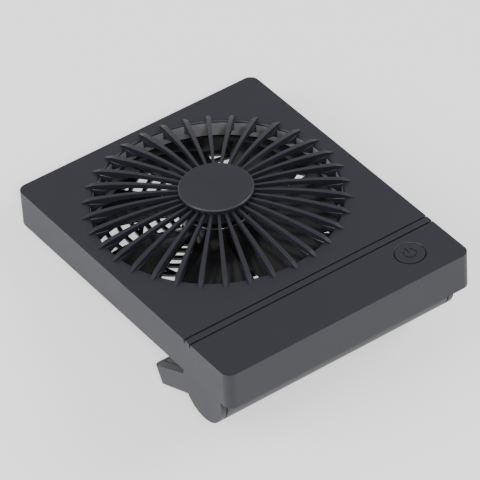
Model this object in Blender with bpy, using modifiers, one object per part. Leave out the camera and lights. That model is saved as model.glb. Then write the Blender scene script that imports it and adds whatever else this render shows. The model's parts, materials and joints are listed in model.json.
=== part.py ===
"""Slim folding desk fan: a flat square-edged body with a 34-rib front grille, an axial fan inside,
a round battery barrel along the lower back, and a thick stand that folds out around the barrel.

The fan is modelled in its own axes: X to its right, Y towards its top edge, Z out of its front
face, with the face at z = 0 and the bottom edge at y = 0. The parent empty then lays it down on
its back edge and its part-opened stand, standing on z = 0. Lengths are in metres.
"""

import math

import bmesh
import bpy
from mathutils import Matrix, Vector

MM = 0.001

# Body
BODY_WIDTH = 120 * MM
BODY_LENGTH = 149.3 * MM
BODY_DEPTH = 17.2 * MM
BODY_CORNER = 4 * MM
EDGE_ROUND = 0.5 * MM
WALL = 1.8 * MM
FACE = 2 * MM
GAP = 0.3 * MM

# Fan opening and front grille
FAN_CENTRE_Y = 91.1 * MM
RIB_COUNT = 34
RIM_RADIUS = 51.8 * MM
RIM_ROUND = 1.1 * MM
DUCT_RADIUS = 51.2 * MM
DUCT_DEPTH = 7.2 * MM
DUCT_WALL = 1.6 * MM
RIB_TIP_RADIUS = 56.6 * MM
RIB_CROWN = 5.18 * MM
RIB_CROWN_RADIUS = 18 * MM
RIB_CURVATURE = 2.942
RIB_INNER_RADIUS = 13.2 * MM
RIB_DEPTH = 2 * MM
RIB_GUSSET_START = 32 * MM
RIB_GUSSET_DEPTH = 4.8 * MM
RIB_ROOT = -0.6 * MM
HUB_RADIUS = 15.6 * MM
HUB_TOP = 7.1 * MM
HUB_CAP_THICKNESS = 1.5 * MM
HUB_SEAT_RADIUS = 14.8 * MM
HUB_SEAT_TOP = 5.3 * MM
HUB_SEAT_BOTTOM = -0.8 * MM
HUB_SEAT_WALL = 2.2 * MM
HUB_FLOOR = 0.9 * MM
HUB_RECESS_RADIUS = 12 * MM
HUB_RECESS_FLOOR = 2.6 * MM
HUB_PLUG_OUTER = 11.6 * MM
HUB_PLUG_INNER = 10.2 * MM
HUB_PLUG_BOTTOM = 3 * MM

# Decorative grooves across the face
GROOVE_Y = (25.3 * MM, 29.1 * MM)
GROOVE_WIDTH = 0.7 * MM
GROOVE_DEPTH = 0.6 * MM
GROOVE_SIDE_NOTCH = 1.6 * MM

# Power button and the board under it
BUTTON_X = 40.6 * MM
BUTTON_Y = 14.8 * MM
BUTTON_HOLE_RADIUS = 6.6 * MM
BUTTON_RADIUS = 6.25 * MM
BOARD_TOP = -6.4 * MM
BOARD_THICKNESS = 1.2 * MM
MARK_RADIUS = 2.6 * MM
MARK_STROKE = 0.35 * MM
MARK_DEPTH = 0.25 * MM

# Screw posts, charging socket and the hole for the cell's wires
SCREW_POSTS = [(side * 52.5 * MM, y) for side in (-1, 1) for y in (39 * MM, 142 * MM)]
SCREW_POST_RADIUS = 2.6 * MM
SCREW_POST_END = -14.9 * MM
SCREW_PILOT_RADIUS = 0.9 * MM
BOARD_SCREWS = [(-48 * MM, 14 * MM), (27 * MM, 30 * MM)]
BOARD_POST_RADIUS = 2 * MM
BOARD_PILOT_RADIUS = 0.75 * MM
SOCKET_Y = 10 * MM
SOCKET_Z = BOARD_TOP - BOARD_THICKNESS - 1.9 * MM
SOCKET_WIDTH = 8.9 * MM
SOCKET_HEIGHT = 3.2 * MM
SOCKET_ROUND = 1.5 * MM
SOCKET_WALL = 0.35 * MM
SOCKET_CLEARANCE = 0.4 * MM
WIRE_HOLE = 2.2 * MM
WIRE_HOLE_X = -44 * MM

# Rear cover
PANEL_THICKNESS = 1.8 * MM
PANEL_CORNER = 2 * MM
TROUGH_OUTER = 14.8 * MM
HEAD_RECESS_RADIUS = 2.3 * MM
HEAD_RECESS_FLOOR = -16.1 * MM
SHANK_HOLE_RADIUS = 1.4 * MM

# Fan housing and impeller
HOUSING_RADIUS = 50.2 * MM
HOUSING_WALL = 1.4 * MM
HOUSING_TOP = -7.6 * MM
HOUSING_BACK = -17 * MM
GRILLE_TOP = -15.5 * MM
BAR_COUNT = 20
BAR_WIDTH = 1.8 * MM
BAR_START = 14 * MM
BAR_SWEEP = math.radians(-100)
BOSS_RADIUS = 15.5 * MM
BOSS_TOP = -15.1 * MM
BOSS_BORE = 3.6 * MM
FLANGE_WIDTH = 1.4 * MM
FLANGE_TOP = -13.9 * MM
FLANGE_BOTTOM = -15.1 * MM
TIE_RING_RADIUS = 32 * MM
TIE_RING_HALF = 0.9 * MM
BRIDGE_HALF = 2.1 * MM
CHANNEL_HALF = 1.4 * MM
WIRE_ANGLE = math.radians(255)
BLADE_COUNT = 7
BLADE_PHASE = math.radians(16)
BLADE_ROOT_SPREAD = math.radians(48)
BLADE_TIP_SPREAD = math.radians(40)
BLADE_SWEEP = math.radians(14)
BLADE_CAMBER = 0.7 * MM
BLADE_THICKNESS = 1 * MM
BLADE_ROOT_RADIUS = 13.8 * MM
BLADE_TIP_RADIUS = 49 * MM
BLADE_TOP = -8.2 * MM
BLADE_BOTTOM = -14.2 * MM
CUP_RADIUS = 14.5 * MM
CUP_TOP = -3.4 * MM
CUP_BOTTOM = -13 * MM
CUP_WALL = 1.1 * MM
CUP_CEILING = CUP_TOP - 1.2 * MM
YOKE_TOP = CUP_TOP - 1.5 * MM
YOKE_BOTTOM = -12.6 * MM

# Motor
POLE_COUNT = 4
CORE_BORE = 3.5 * MM
CORE_TOP = -7.6 * MM
CORE_BOTTOM = -11.4 * MM
SHOE_OUTER = 10.4 * MM
SHOE_INNER = 9.2 * MM

# Barrel and stand, turning about the barrel's centre line
HINGE_Y = 22 * MM
HINGE_Z = -24.6 * MM
BARREL_RADIUS = 13 * MM
BARREL_BORE = 11 * MM
BARREL_HALF = 55 * MM
STAND_HALF = 57.9 * MM
DISC_THICKNESS = 2.4 * MM
STAND_REACH = 35.7 * MM
STAND_INNER = 7.1 * MM
STAND_OUTER_TIP = 0.9 * MM
STAND_OUTER_ROOT = 2.1 * MM
HINGE_PIN = 2 * MM
STAND_SEAT_HALF = 54 * MM
STAND_POCKET_HALF = 52.4 * MM
STAND_POSTS = [(side * x, 24.7 * MM) for side in (-1, 1) for x in (16 * MM, 46 * MM)]
CELL_RADIUS = 9.15 * MM
CELL_HALF = 32.5 * MM
STAND_OPEN_AT_REST = 26

# Sides of round pieces
ROUND = RIB_COUNT
MEDIUM = 24
SMALL = 16
TINY = 10

parts = None
cutters = None


# Scene, materials and small shape helpers

def clear_scene():
    """Remove what the file holds and make the two collections."""
    global parts, cutters
    for old in list(bpy.data.objects):
        bpy.data.objects.remove(old, do_unlink=True)
    parts = bpy.data.collections.new("folding_desk_fan")
    cutters = bpy.data.collections.new("cutters")
    bpy.context.scene.collection.children.link(parts)
    bpy.context.scene.collection.children.link(cutters)


def finish_of(name, colour, roughness, metallic=0.0):
    """Return the named material, made on first use."""
    found = bpy.data.materials.get(name)
    if found:
        return found
    made = bpy.data.materials.new(name)
    made.use_nodes = True
    shader = made.node_tree.nodes["Principled BSDF"]
    shader.inputs["Base Color"].default_value = (*colour, 1)
    shader.inputs["Roughness"].default_value = roughness
    shader.inputs["Metallic"].default_value = metallic
    return made


def black_plastic():
    return finish_of("black_plastic", (0.045, 0.046, 0.055), 0.45)


def dark_plastic():
    return finish_of("dark_plastic", (0.015, 0.015, 0.018), 0.35)


def steel():
    return finish_of("steel", (0.6, 0.6, 0.62), 0.3, 1.0)


def brass():
    return finish_of("brass", (0.75, 0.6, 0.3), 0.3, 1.0)


def copper():
    return finish_of("copper", (0.7, 0.33, 0.15), 0.35, 1.0)


def board_green():
    return finish_of("board_green", (0.02, 0.16, 0.07), 0.4)


def chip_black():
    return finish_of("chip_black", (0.02, 0.02, 0.02), 0.5)


def wire_red():
    return finish_of("wire_red", (0.6, 0.02, 0.02), 0.4)


def wire_black():
    return finish_of("wire_black", (0.02, 0.02, 0.02), 0.4)


def cell_wrap():
    return finish_of("cell_wrap", (0.05, 0.2, 0.5), 0.4)


def foam():
    return finish_of("foam", (0.1, 0.1, 0.1), 0.9)


def magnet_grey():
    return finish_of("magnet_grey", (0.12, 0.12, 0.12), 0.7)


def add_object(name, mesh, material=None):
    """Put a mesh in the parts collection, or with the cutters where it has no material."""
    added = bpy.data.objects.new(name, mesh)
    if material:
        parts.objects.link(added)
        mesh.materials.clear()
        mesh.materials.append(material)
    else:
        cutters.objects.link(added)
        added.hide_render = True
        added.display_type = "WIRE"
    return added


def place_mesh(mesh, matrix):
    """Move a mesh's own points, keeping its faces pointing out."""
    mesh.transform(matrix)
    if matrix.determinant() < 0:
        mesh.flip_normals()
    return mesh


def box_mesh(low, high):
    """Box between two opposite corners."""
    shape = bmesh.new()
    size = Vector(high) - Vector(low)
    middle = (Vector(high) + Vector(low)) / 2
    bmesh.ops.create_cube(shape, size=1, matrix=Matrix.Translation(middle) @ Matrix.Diagonal((*size, 1)))
    mesh = bpy.data.meshes.new("box")
    shape.to_mesh(mesh)
    shape.free()
    return mesh


def cylinder_mesh(radius, low, high, segments=SMALL, centre=(0, 0), end_radius=None):
    """Cylinder or cone standing along Z between two heights."""
    shape = bmesh.new()
    middle = Matrix.Translation((centre[0], centre[1], (low + high) / 2))
    bmesh.ops.create_cone(
        shape, cap_ends=True, segments=segments, radius1=radius,
        radius2=radius if end_radius is None else end_radius, depth=high - low, matrix=middle)
    mesh = bpy.data.meshes.new("cylinder")
    shape.to_mesh(mesh)
    shape.free()
    return mesh


def outline_mesh(outline, low, high):
    """Solid with a flat outline in XY, from a filled 2D curve, between two heights."""
    curve = bpy.data.curves.new("outline", "CURVE")
    curve.dimensions = "2D"
    curve.fill_mode = "BOTH"
    curve.extrude = (high - low) / 2
    spline = curve.splines.new("POLY")
    spline.points.add(len(outline) - 1)
    for point, (x, y) in zip(spline.points, outline):
        point.co = (x, y, 0, 1)
    spline.use_cyclic_u = True
    holder = bpy.data.objects.new("outline", curve)
    bpy.context.scene.collection.objects.link(holder)
    graph = bpy.context.evaluated_depsgraph_get()
    mesh = bpy.data.meshes.new_from_object(holder.evaluated_get(graph))
    bpy.data.objects.remove(holder)
    shape = bmesh.new()
    shape.from_mesh(mesh)
    bmesh.ops.remove_doubles(shape, verts=shape.verts, dist=0.000002)
    bmesh.ops.recalc_face_normals(shape, faces=shape.faces)
    shape.to_mesh(mesh)
    shape.free()
    mesh.transform(Matrix.Translation((0, 0, (low + high) / 2)))
    return mesh


def turned_mesh(profile, steps=ROUND):
    """Solid of revolution about Z from a closed profile of (radius, height) points.

    The profile runs down the outer side and back up the inner side. Points on the axis close it.
    """
    mesh = bpy.data.meshes.new("turned")
    on_axis = profile[0][0] == 0 and profile[-1][0] == 0
    edges = [(i, i + 1) for i in range(len(profile) - 1)]
    if not on_axis:
        edges.append((len(profile) - 1, 0))
    mesh.from_pydata([(radius, 0, height) for radius, height in profile], edges, [])
    holder = bpy.data.objects.new("turned", mesh)
    bpy.context.scene.collection.objects.link(holder)
    screw = holder.modifiers.new("turn", "SCREW")
    screw.steps = steps
    screw.render_steps = steps
    screw.use_merge_vertices = True
    screw.merge_threshold = 0.000001
    graph = bpy.context.evaluated_depsgraph_get()
    turned = bpy.data.meshes.new_from_object(holder.evaluated_get(graph))
    bpy.data.objects.remove(holder)
    shape = bmesh.new()
    shape.from_mesh(turned)
    bmesh.ops.remove_doubles(shape, verts=shape.verts, dist=0.000001)
    bmesh.ops.recalc_face_normals(shape, faces=shape.faces)
    shape.to_mesh(turned)
    shape.free()
    return turned


def ring_mesh(outer, inner, low, high, segments=ROUND):
    """Plain ring about Z."""
    return turned_mesh([(outer, high), (outer, low), (inner, low), (inner, high)], segments)


def joined_mesh(meshes):
    """One mesh that holds several separate solids."""
    shape = bmesh.new()
    for mesh in meshes:
        shape.from_mesh(mesh)
    joined = bpy.data.meshes.new("joined")
    shape.to_mesh(joined)
    shape.free()
    return joined


def boolean(target, mesh, operation):
    """Add a Boolean between an object and a mesh, which becomes a hidden tool object."""
    tool = add_object(target.name + "_" + operation.lower(), mesh)
    modifier = target.modifiers.new(operation.lower(), "BOOLEAN")
    modifier.operation = operation
    modifier.solver = "EXACT"
    modifier.object = tool


def cut(target, *meshes):
    for mesh in meshes:
        boolean(target, mesh, "DIFFERENCE")


def unite(target, *meshes):
    for mesh in meshes:
        boolean(target, mesh, "UNION")


def use_manifold_solver(target):
    """Switch an object's Booleans to the solver that copes with its many flush faces."""
    for modifier in target.modifiers:
        if modifier.type == "BOOLEAN":
            modifier.solver = "MANIFOLD"


def settle(target):
    """Apply an object's modifiers, so that it can be moved without its tools."""
    graph = bpy.context.evaluated_depsgraph_get()
    mesh = bpy.data.meshes.new_from_object(target.evaluated_get(graph))
    material = target.data.materials[0]
    target.modifiers.clear()
    target.data = mesh
    mesh.materials.clear()
    mesh.materials.append(material)
    mesh.polygons.foreach_set("material_index", [0] * len(mesh.polygons))
    return target


def rounded_rectangle(low, high, radius, steps=5):
    """Outline of a rectangle with round corners, anticlockwise."""
    corners = (
        (high[0] - radius, low[1] + radius, -90),
        (high[0] - radius, high[1] - radius, 0),
        (low[0] + radius, high[1] - radius, 90),
        (low[0] + radius, low[1] + radius, 180))
    outline = []
    for x, y, start in corners:
        for step in range(steps + 1):
            angle = math.radians(start + 90 * step / steps)
            outline.append((x + radius * math.cos(angle), y + radius * math.sin(angle)))
    return outline


def along_x(mesh):
    """Turn a mesh made along Z so that it lies along X, with its X and Y becoming Y and Z."""
    return place_mesh(mesh, Matrix(((0, 0, 1, 0), (1, 0, 0, 0), (0, 1, 0, 0), (0, 0, 0, 1))))


def on_fan_axis(mesh):
    return place_mesh(mesh, Matrix.Translation((0, FAN_CENTRE_Y, 0)))


def around_axis(mesh, count, start=0.0):
    """Copies of a mesh spread evenly round Z."""
    copies = []
    for index in range(count):
        copy = mesh.copy()
        copy.transform(Matrix.Rotation(start + 2 * math.pi * index / count, 4, "Z"))
        copies.append(copy)
    return joined_mesh(copies)


def add_copies(name, mesh, places, material):
    """One numbered object for each place, all of the same shape."""
    return [
        add_object(f"{name}_{number}", place_mesh(mesh.copy(), Matrix.Translation((x, y, 0))), material)
        for number, (x, y) in enumerate(places, start=1)]


def body_outline(inset, radius):
    half = BODY_WIDTH / 2 - inset
    return rounded_rectangle((-half, inset), (half, BODY_LENGTH - inset), radius)


# Front cover, hub cap and rear cover

def rib_height(radius):
    """Height of a rib's domed top edge at a radius, rounding down to the face past the rim."""
    dome = RIB_CROWN - RIB_CURVATURE * (radius - RIB_CROWN_RADIUS) ** 2
    if radius <= RIM_RADIUS:
        return dome
    past_rim = (radius - RIM_RADIUS) / (RIB_TIP_RADIUS - RIM_RADIUS)
    return dome * (1 - past_rim ** 1.3) - 0.25 * MM * past_rim


def rib_width(radius):
    """Width of a rib, growing from hub to rim and drawn to a point past the rim."""
    width = 1.1 * MM + 1.0 * MM * (radius - HUB_RADIUS) / (RIM_RADIUS - HUB_RADIUS)
    if radius > RIM_RADIUS:
        width *= 1 - 0.65 * (radius - RIM_RADIUS) / (RIB_TIP_RADIUS - RIM_RADIUS)
    return width


def rib_bottom(radius):
    """Underside of a rib: a slim arched bar that deepens into a gusset at the duct wall."""
    gusset = max(0.0, (radius - RIB_GUSSET_START) / (RIM_RADIUS - RIB_GUSSET_START)) ** 3
    return rib_height(radius) - RIB_DEPTH - RIB_GUSSET_DEPTH * gusset


def rib_mesh():
    """One straight vane from the hub to just past the rim, standing on edge along +X."""
    steps = 5
    reach = RIM_RADIUS - RIB_INNER_RADIUS
    over_hole = [RIB_INNER_RADIUS + reach * step / steps for step in range(steps + 1)]
    past_rim = [(RIM_RADIUS + RIB_TIP_RADIUS) / 2, RIB_TIP_RADIUS]
    outline = [(radius, rib_height(radius)) for radius in over_hole + past_rim]
    outline += [
        (RIB_TIP_RADIUS, RIB_ROOT), (RIM_RADIUS + RIM_ROUND + GAP, RIB_ROOT),
        (RIM_RADIUS + 0.5 * MM, rib_bottom(RIM_RADIUS))]
    outline += [(radius, rib_bottom(radius)) for radius in over_hole[::-1]]
    mesh = outline_mesh(outline[::-1], -0.5, 0.5)
    for vertex in mesh.vertices:
        vertex.co.z *= rib_width(vertex.co.x)
    return place_mesh(mesh, Matrix(((1, 0, 0, 0), (0, 0, -1, 0), (0, 1, 0, 0), (0, 0, 0, 1))))


def socket_slab(inset, start, end):
    """Rounded bar along X with the charging socket's outline, drawn in by an inset."""
    reach = SOCKET_WIDTH / 2 - inset
    rise = SOCKET_HEIGHT / 2 - inset
    return along_x(outline_mesh(rounded_rectangle(
        (SOCKET_Y - reach, SOCKET_Z - rise), (SOCKET_Y + reach, SOCKET_Z + rise), SOCKET_ROUND - inset),
        start, end))


def make_front_cover():
    """Front face, side walls, duct ring, ribs and hub seat, moulded in one piece."""
    cover = add_object(
        "front_cover", outline_mesh(body_outline(0, BODY_CORNER), -BODY_DEPTH, 0), black_plastic())
    soft_edges = cover.modifiers.new("soft_edges", "BEVEL")
    soft_edges.width = EDGE_ROUND
    soft_edges.segments = 2
    soft_edges.limit_method = "ANGLE"
    soft_edges.angle_limit = math.radians(60)
    cut(cover, outline_mesh(body_outline(WALL, BODY_CORNER - WALL), -BODY_DEPTH - MM, -FACE))
    ring_outer = DUCT_RADIUS + DUCT_WALL
    unite(cover, on_fan_axis(turned_mesh(
        [(ring_outer, -FACE + 0.5 * MM), (ring_outer, -DUCT_DEPTH),
         (DUCT_RADIUS - MM, -DUCT_DEPTH), (DUCT_RADIUS - MM, -FACE + 0.5 * MM)], ROUND)))
    in_face = -FACE + 0.5 * MM
    posts = [cylinder_mesh(SCREW_POST_RADIUS, SCREW_POST_END, in_face, SMALL, at) for at in SCREW_POSTS]
    posts += [cylinder_mesh(BOARD_POST_RADIUS, BOARD_TOP + GAP, in_face, SMALL, at) for at in BOARD_SCREWS]
    unite(cover, joined_mesh(posts))
    rounding = [
        (RIM_RADIUS + RIM_ROUND * (1 - math.cos(math.radians(turn))),
         -RIM_ROUND * (1 - math.sin(math.radians(turn)))) for turn in (90, 60, 30, 0)]
    opening = [(0, MM), (RIM_RADIUS + RIM_ROUND, MM)] + rounding
    opening += [(DUCT_RADIUS, -DUCT_DEPTH - MM), (0, -DUCT_DEPTH - MM)]
    cut(cover, on_fan_axis(turned_mesh(opening, ROUND)))
    seat_inner = HUB_SEAT_RADIUS - HUB_SEAT_WALL
    unite(cover, on_fan_axis(turned_mesh(
        [(0, HUB_RECESS_FLOOR), (HUB_RECESS_RADIUS, HUB_RECESS_FLOOR), (HUB_RECESS_RADIUS, HUB_SEAT_TOP),
         (HUB_SEAT_RADIUS - EDGE_ROUND, HUB_SEAT_TOP), (HUB_SEAT_RADIUS, HUB_SEAT_TOP - EDGE_ROUND),
         (HUB_SEAT_RADIUS, HUB_SEAT_BOTTOM), (seat_inner, HUB_SEAT_BOTTOM), (seat_inner, HUB_FLOOR),
         (0, HUB_FLOOR)], ROUND)))
    unite(cover, on_fan_axis(around_axis(rib_mesh(), RIB_COUNT, math.pi / 2)))
    cut(cover, cylinder_mesh(BUTTON_HOLE_RADIUS, -FACE - MM, MM, ROUND, (BUTTON_X, BUTTON_Y)))
    half = BODY_WIDTH / 2
    for y in GROOVE_Y:
        low, high = y - GROOVE_WIDTH / 2, y + GROOVE_WIDTH / 2
        cut(cover, box_mesh((-half - MM, low, -GROOVE_DEPTH), (half + MM, high, MM)))
        for side in (-1, 1):
            ends = sorted((side * (half - GROOVE_DEPTH), side * (half + MM)))
            cut(cover, box_mesh((ends[0], low, -GROOVE_SIDE_NOTCH), (ends[1], high, MM)))
    cut(cover, socket_slab(-SOCKET_CLEARANCE, half - WALL - MM, half + MM))
    pilots = [cylinder_mesh(SCREW_PILOT_RADIUS, -16 * MM, -5 * MM, TINY, at) for at in SCREW_POSTS]
    pilots += [cylinder_mesh(BOARD_PILOT_RADIUS, -8 * MM, -3 * MM, TINY, at) for at in BOARD_SCREWS]
    cut(cover, joined_mesh(pilots))
    use_manifold_solver(cover)


def make_hub_cap():
    """Round cap with a chamfered edge, plugged into the grille's hub."""
    under = HUB_TOP - HUB_CAP_THICKNESS
    return add_object("hub_cap", on_fan_axis(turned_mesh(
        [(0, HUB_TOP), (HUB_RADIUS - 0.5 * MM, HUB_TOP), (HUB_RADIUS, HUB_TOP - 0.45 * MM),
         (HUB_RADIUS, under), (HUB_PLUG_OUTER, under), (HUB_PLUG_OUTER, HUB_PLUG_BOTTOM),
         (HUB_PLUG_INNER, HUB_PLUG_BOTTOM), (HUB_PLUG_INNER, under), (0, under)], ROUND)), black_plastic())


def make_rear_cover():
    """Back panel set inside the side walls, with the trough that seats the barrel."""
    inset = WALL + GAP
    cover = add_object("rear_cover", outline_mesh(
        body_outline(inset, PANEL_CORNER), -BODY_DEPTH, -BODY_DEPTH + PANEL_THICKNESS), black_plastic())
    reach = BODY_WIDTH / 2 - inset
    half_tube = [
        (HINGE_Y + TROUGH_OUTER * math.cos(math.pi * step / 28),
         HINGE_Z + TROUGH_OUTER * math.sin(math.pi * step / 28)) for step in range(4, 25, 2)]
    unite(cover, along_x(outline_mesh(half_tube, -reach, reach)))
    cut(cover, along_x(cylinder_mesh(
        BARREL_RADIUS + GAP, -reach - MM, reach + MM, 48, (HINGE_Y, HINGE_Z))))
    cut(cover, box_mesh((-reach - MM, 0, -40 * MM), (reach + MM, 60 * MM, -BODY_DEPTH)))
    cut(cover, on_fan_axis(cylinder_mesh(HOUSING_RADIUS + HOUSING_WALL + GAP, -20 * MM, -10 * MM, ROUND)))
    heads = [
        cylinder_mesh(HEAD_RECESS_RADIUS, -18 * MM, HEAD_RECESS_FLOOR, SMALL, at) for at in SCREW_POSTS]
    shanks = [cylinder_mesh(SHANK_HOLE_RADIUS, -17 * MM, -14 * MM, SMALL, at) for at in SCREW_POSTS]
    cut(cover, joined_mesh(heads), joined_mesh(shanks))
    cut(cover, cylinder_mesh(WIRE_HOLE, -20 * MM, -8 * MM, SMALL, (WIRE_HOLE_X, HINGE_Y)))


def make_case_screws():
    """Four pan-head screws through the rear cover into the front cover's posts."""
    screw = turned_mesh([
        (0, -10 * MM), (0.55 * MM, -10 * MM), (0.55 * MM, -16.4 * MM), (1.9 * MM, -16.4 * MM),
        (1.9 * MM, -16.8 * MM), (1.4 * MM, -17.1 * MM), (0, -17.1 * MM)], TINY)
    add_copies("case_screw", screw, SCREW_POSTS, steel())


# Fan housing, motor and impeller

def swirl_bar_mesh():
    """Bar of the back grille, curving round as it runs out from the boss to the collar."""
    steps = 5
    end = HOUSING_RADIUS - 0.6 * MM
    left, right = [], []
    for step in range(steps + 1):
        radius = BAR_START + (end - BAR_START) * step / steps
        angle = BAR_SWEEP * step / steps
        heading = angle + math.atan2(radius * BAR_SWEEP, end - BAR_START)
        for side, edge in ((0.5, left), (-0.5, right)):
            edge.append((
                radius * math.cos(angle) - side * BAR_WIDTH * math.sin(heading),
                radius * math.sin(angle) + side * BAR_WIDTH * math.cos(heading)))
    return outline_mesh(left[::-1] + right, HOUSING_BACK, GRILLE_TOP)


def make_fan_housing():
    """Round housing behind the duct: collar, swirled back grille and motor boss in one piece."""
    outer = HOUSING_RADIUS + HOUSING_WALL
    housing = add_object("fan_housing", on_fan_axis(turned_mesh(
        [(outer, HOUSING_TOP), (outer, FLANGE_TOP), (outer + FLANGE_WIDTH, FLANGE_TOP),
         (outer + FLANGE_WIDTH, FLANGE_BOTTOM), (outer, FLANGE_BOTTOM), (outer, HOUSING_BACK),
         (HOUSING_RADIUS - 1.2 * MM, HOUSING_BACK), (HOUSING_RADIUS - 1.2 * MM, GRILLE_TOP),
         (HOUSING_RADIUS, GRILLE_TOP), (HOUSING_RADIUS, HOUSING_TOP)], 2 * BAR_COUNT)), dark_plastic())
    unite(housing, on_fan_axis(around_axis(swirl_bar_mesh(), BAR_COUNT)))
    unite(housing, on_fan_axis(ring_mesh(
        TIE_RING_RADIUS + TIE_RING_HALF, TIE_RING_RADIUS - TIE_RING_HALF,
        HOUSING_BACK + 0.2 * MM, GRILLE_TOP - 0.2 * MM, BAR_COUNT)))
    unite(housing, on_fan_axis(cylinder_mesh(BOSS_RADIUS, HOUSING_BACK - 0.1 * MM, BOSS_TOP, ROUND)))
    bridge = box_mesh(
        (BAR_START, -BRIDGE_HALF, HOUSING_BACK), (HOUSING_RADIUS, BRIDGE_HALF, GRILLE_TOP + 0.1 * MM))
    channel = box_mesh(
        (8 * MM, -CHANNEL_HALF, HOUSING_BACK + 0.5 * MM), (60 * MM, CHANNEL_HALF, -13.2 * MM))
    for mesh in (bridge, channel):
        mesh.transform(Matrix.Rotation(WIRE_ANGLE, 4, "Z"))
    unite(housing, on_fan_axis(bridge))
    cut(housing, on_fan_axis(channel))
    cut(housing, on_fan_axis(cylinder_mesh(BOSS_BORE, -20 * MM, -10 * MM, MEDIUM)))


def make_motor_stator():
    """Bearing tube, sleeve bearing, laminated core with coils, and the motor's own small board."""
    add_object("bearing_tube", on_fan_axis(
        ring_mesh(3.2 * MM, 2.5 * MM, -16.6 * MM, -5.8 * MM, MEDIUM)), brass())
    add_object("sleeve_bearing", on_fan_axis(
        ring_mesh(2.2 * MM, 1.08 * MM, -13.5 * MM, -6.2 * MM, MEDIUM)), brass())
    core = add_object("stator_core", on_fan_axis(
        ring_mesh(5.4 * MM, CORE_BORE, CORE_BOTTOM, CORE_TOP, MEDIUM)), steel())
    arm = box_mesh((4.6 * MM, -1.0 * MM, CORE_BOTTOM), (9.6 * MM, 1.0 * MM, CORE_TOP))
    unite(core, on_fan_axis(around_axis(arm, POLE_COUNT)))
    sweep = [math.radians(angle) for angle in range(-32, 33, 8)]
    shoe = outline_mesh(
        [(SHOE_OUTER * math.cos(angle), SHOE_OUTER * math.sin(angle)) for angle in sweep]
        + [(SHOE_INNER * math.cos(angle), SHOE_INNER * math.sin(angle)) for angle in reversed(sweep)],
        CORE_BOTTOM, CORE_TOP)
    unite(core, on_fan_axis(around_axis(shoe, POLE_COUNT)))
    for pole in range(POLE_COUNT):
        winding = box_mesh(
            (5.9 * MM, -2.6 * MM, CORE_BOTTOM - 0.7 * MM), (8.4 * MM, 2.6 * MM, CORE_TOP + 0.7 * MM))
        slot = box_mesh((4 * MM, -1.3 * MM, CORE_BOTTOM - GAP), (9.8 * MM, 1.3 * MM, CORE_TOP + GAP))
        for mesh in (winding, slot):
            mesh.transform(Matrix.Rotation(2 * math.pi / POLE_COUNT * pole, 4, "Z"))
        cut(add_object(f"stator_coil_{pole + 1}", on_fan_axis(winding), copper()), on_fan_axis(slot))
    add_object("motor_board", on_fan_axis(
        ring_mesh(11.4 * MM, CORE_BORE, -13.6 * MM, -12.8 * MM, ROUND)), board_green())


def blade_mesh():
    """One blade: a swept, pitched and slightly cambered sheet with even thickness."""
    shape = bmesh.new()
    bmesh.ops.create_grid(shape, x_segments=4, y_segments=5, size=0.5)
    for vertex in shape.verts:
        chord = vertex.co.x + 0.5
        span = vertex.co.y + 0.5
        radius = BLADE_ROOT_RADIUS + (BLADE_TIP_RADIUS - BLADE_ROOT_RADIUS) * span
        spread = BLADE_ROOT_SPREAD + (BLADE_TIP_SPREAD - BLADE_ROOT_SPREAD) * span
        angle = BLADE_PHASE + BLADE_SWEEP * span + spread * (0.5 - chord)
        camber = BLADE_CAMBER * math.sin(math.pi * chord)
        height = BLADE_TOP + (BLADE_BOTTOM - BLADE_TOP) * chord + camber
        vertex.co = (radius * math.cos(angle), radius * math.sin(angle), height)
    mesh = bpy.data.meshes.new("blade")
    shape.to_mesh(mesh)
    shape.free()
    holder = bpy.data.objects.new("blade", mesh)
    bpy.context.scene.collection.objects.link(holder)
    skin = holder.modifiers.new("thickness", "SOLIDIFY")
    skin.thickness = BLADE_THICKNESS
    skin.offset = 0
    graph = bpy.context.evaluated_depsgraph_get()
    solid = bpy.data.meshes.new_from_object(holder.evaluated_get(graph))
    bpy.data.objects.remove(holder)
    return solid


def make_impeller():
    """Seven-bladed wheel with the rotor yoke, magnet and shaft pressed into its hub."""
    wheel = add_object("impeller", on_fan_axis(turned_mesh(
        [(0, CUP_TOP), (CUP_RADIUS - MM, CUP_TOP), (CUP_RADIUS, CUP_TOP - MM), (CUP_RADIUS, CUP_BOTTOM),
         (CUP_RADIUS - CUP_WALL, CUP_BOTTOM), (CUP_RADIUS - CUP_WALL, CUP_CEILING),
         (0, CUP_CEILING)], 4 * BLADE_COUNT)), dark_plastic())
    unite(wheel, on_fan_axis(around_axis(blade_mesh(), BLADE_COUNT)))
    cut(wheel, on_fan_axis(
        cylinder_mesh(CUP_RADIUS - CUP_WALL, -20 * MM, CUP_CEILING, 4 * BLADE_COUNT)))
    yoke_outer = CUP_RADIUS - CUP_WALL - GAP
    yoke_inner = yoke_outer - 0.7 * MM
    yoke = add_object("rotor_yoke", on_fan_axis(turned_mesh(
        [(yoke_outer, YOKE_TOP), (yoke_outer, YOKE_BOTTOM), (yoke_inner, YOKE_BOTTOM),
         (yoke_inner, YOKE_TOP - 0.6 * MM), (1.3 * MM, YOKE_TOP - 0.6 * MM),
         (1.3 * MM, YOKE_TOP)], ROUND)), steel())
    magnet = add_object("magnet_ring", on_fan_axis(ring_mesh(
        yoke_inner - GAP, 10.8 * MM, -12.2 * MM, -7 * MM)), magnet_grey())
    shaft = add_object("rotor_shaft", on_fan_axis(cylinder_mesh(
        1.0 * MM, -14.6 * MM, YOKE_TOP, MEDIUM)), steel())
    clip = add_object("shaft_clip", on_fan_axis(ring_mesh(
        2.0 * MM, 1.3 * MM, -14.3 * MM, -13.9 * MM, SMALL)), steel())
    return [wheel, yoke, magnet, shaft, clip]


# Power button, control board and socket

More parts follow.
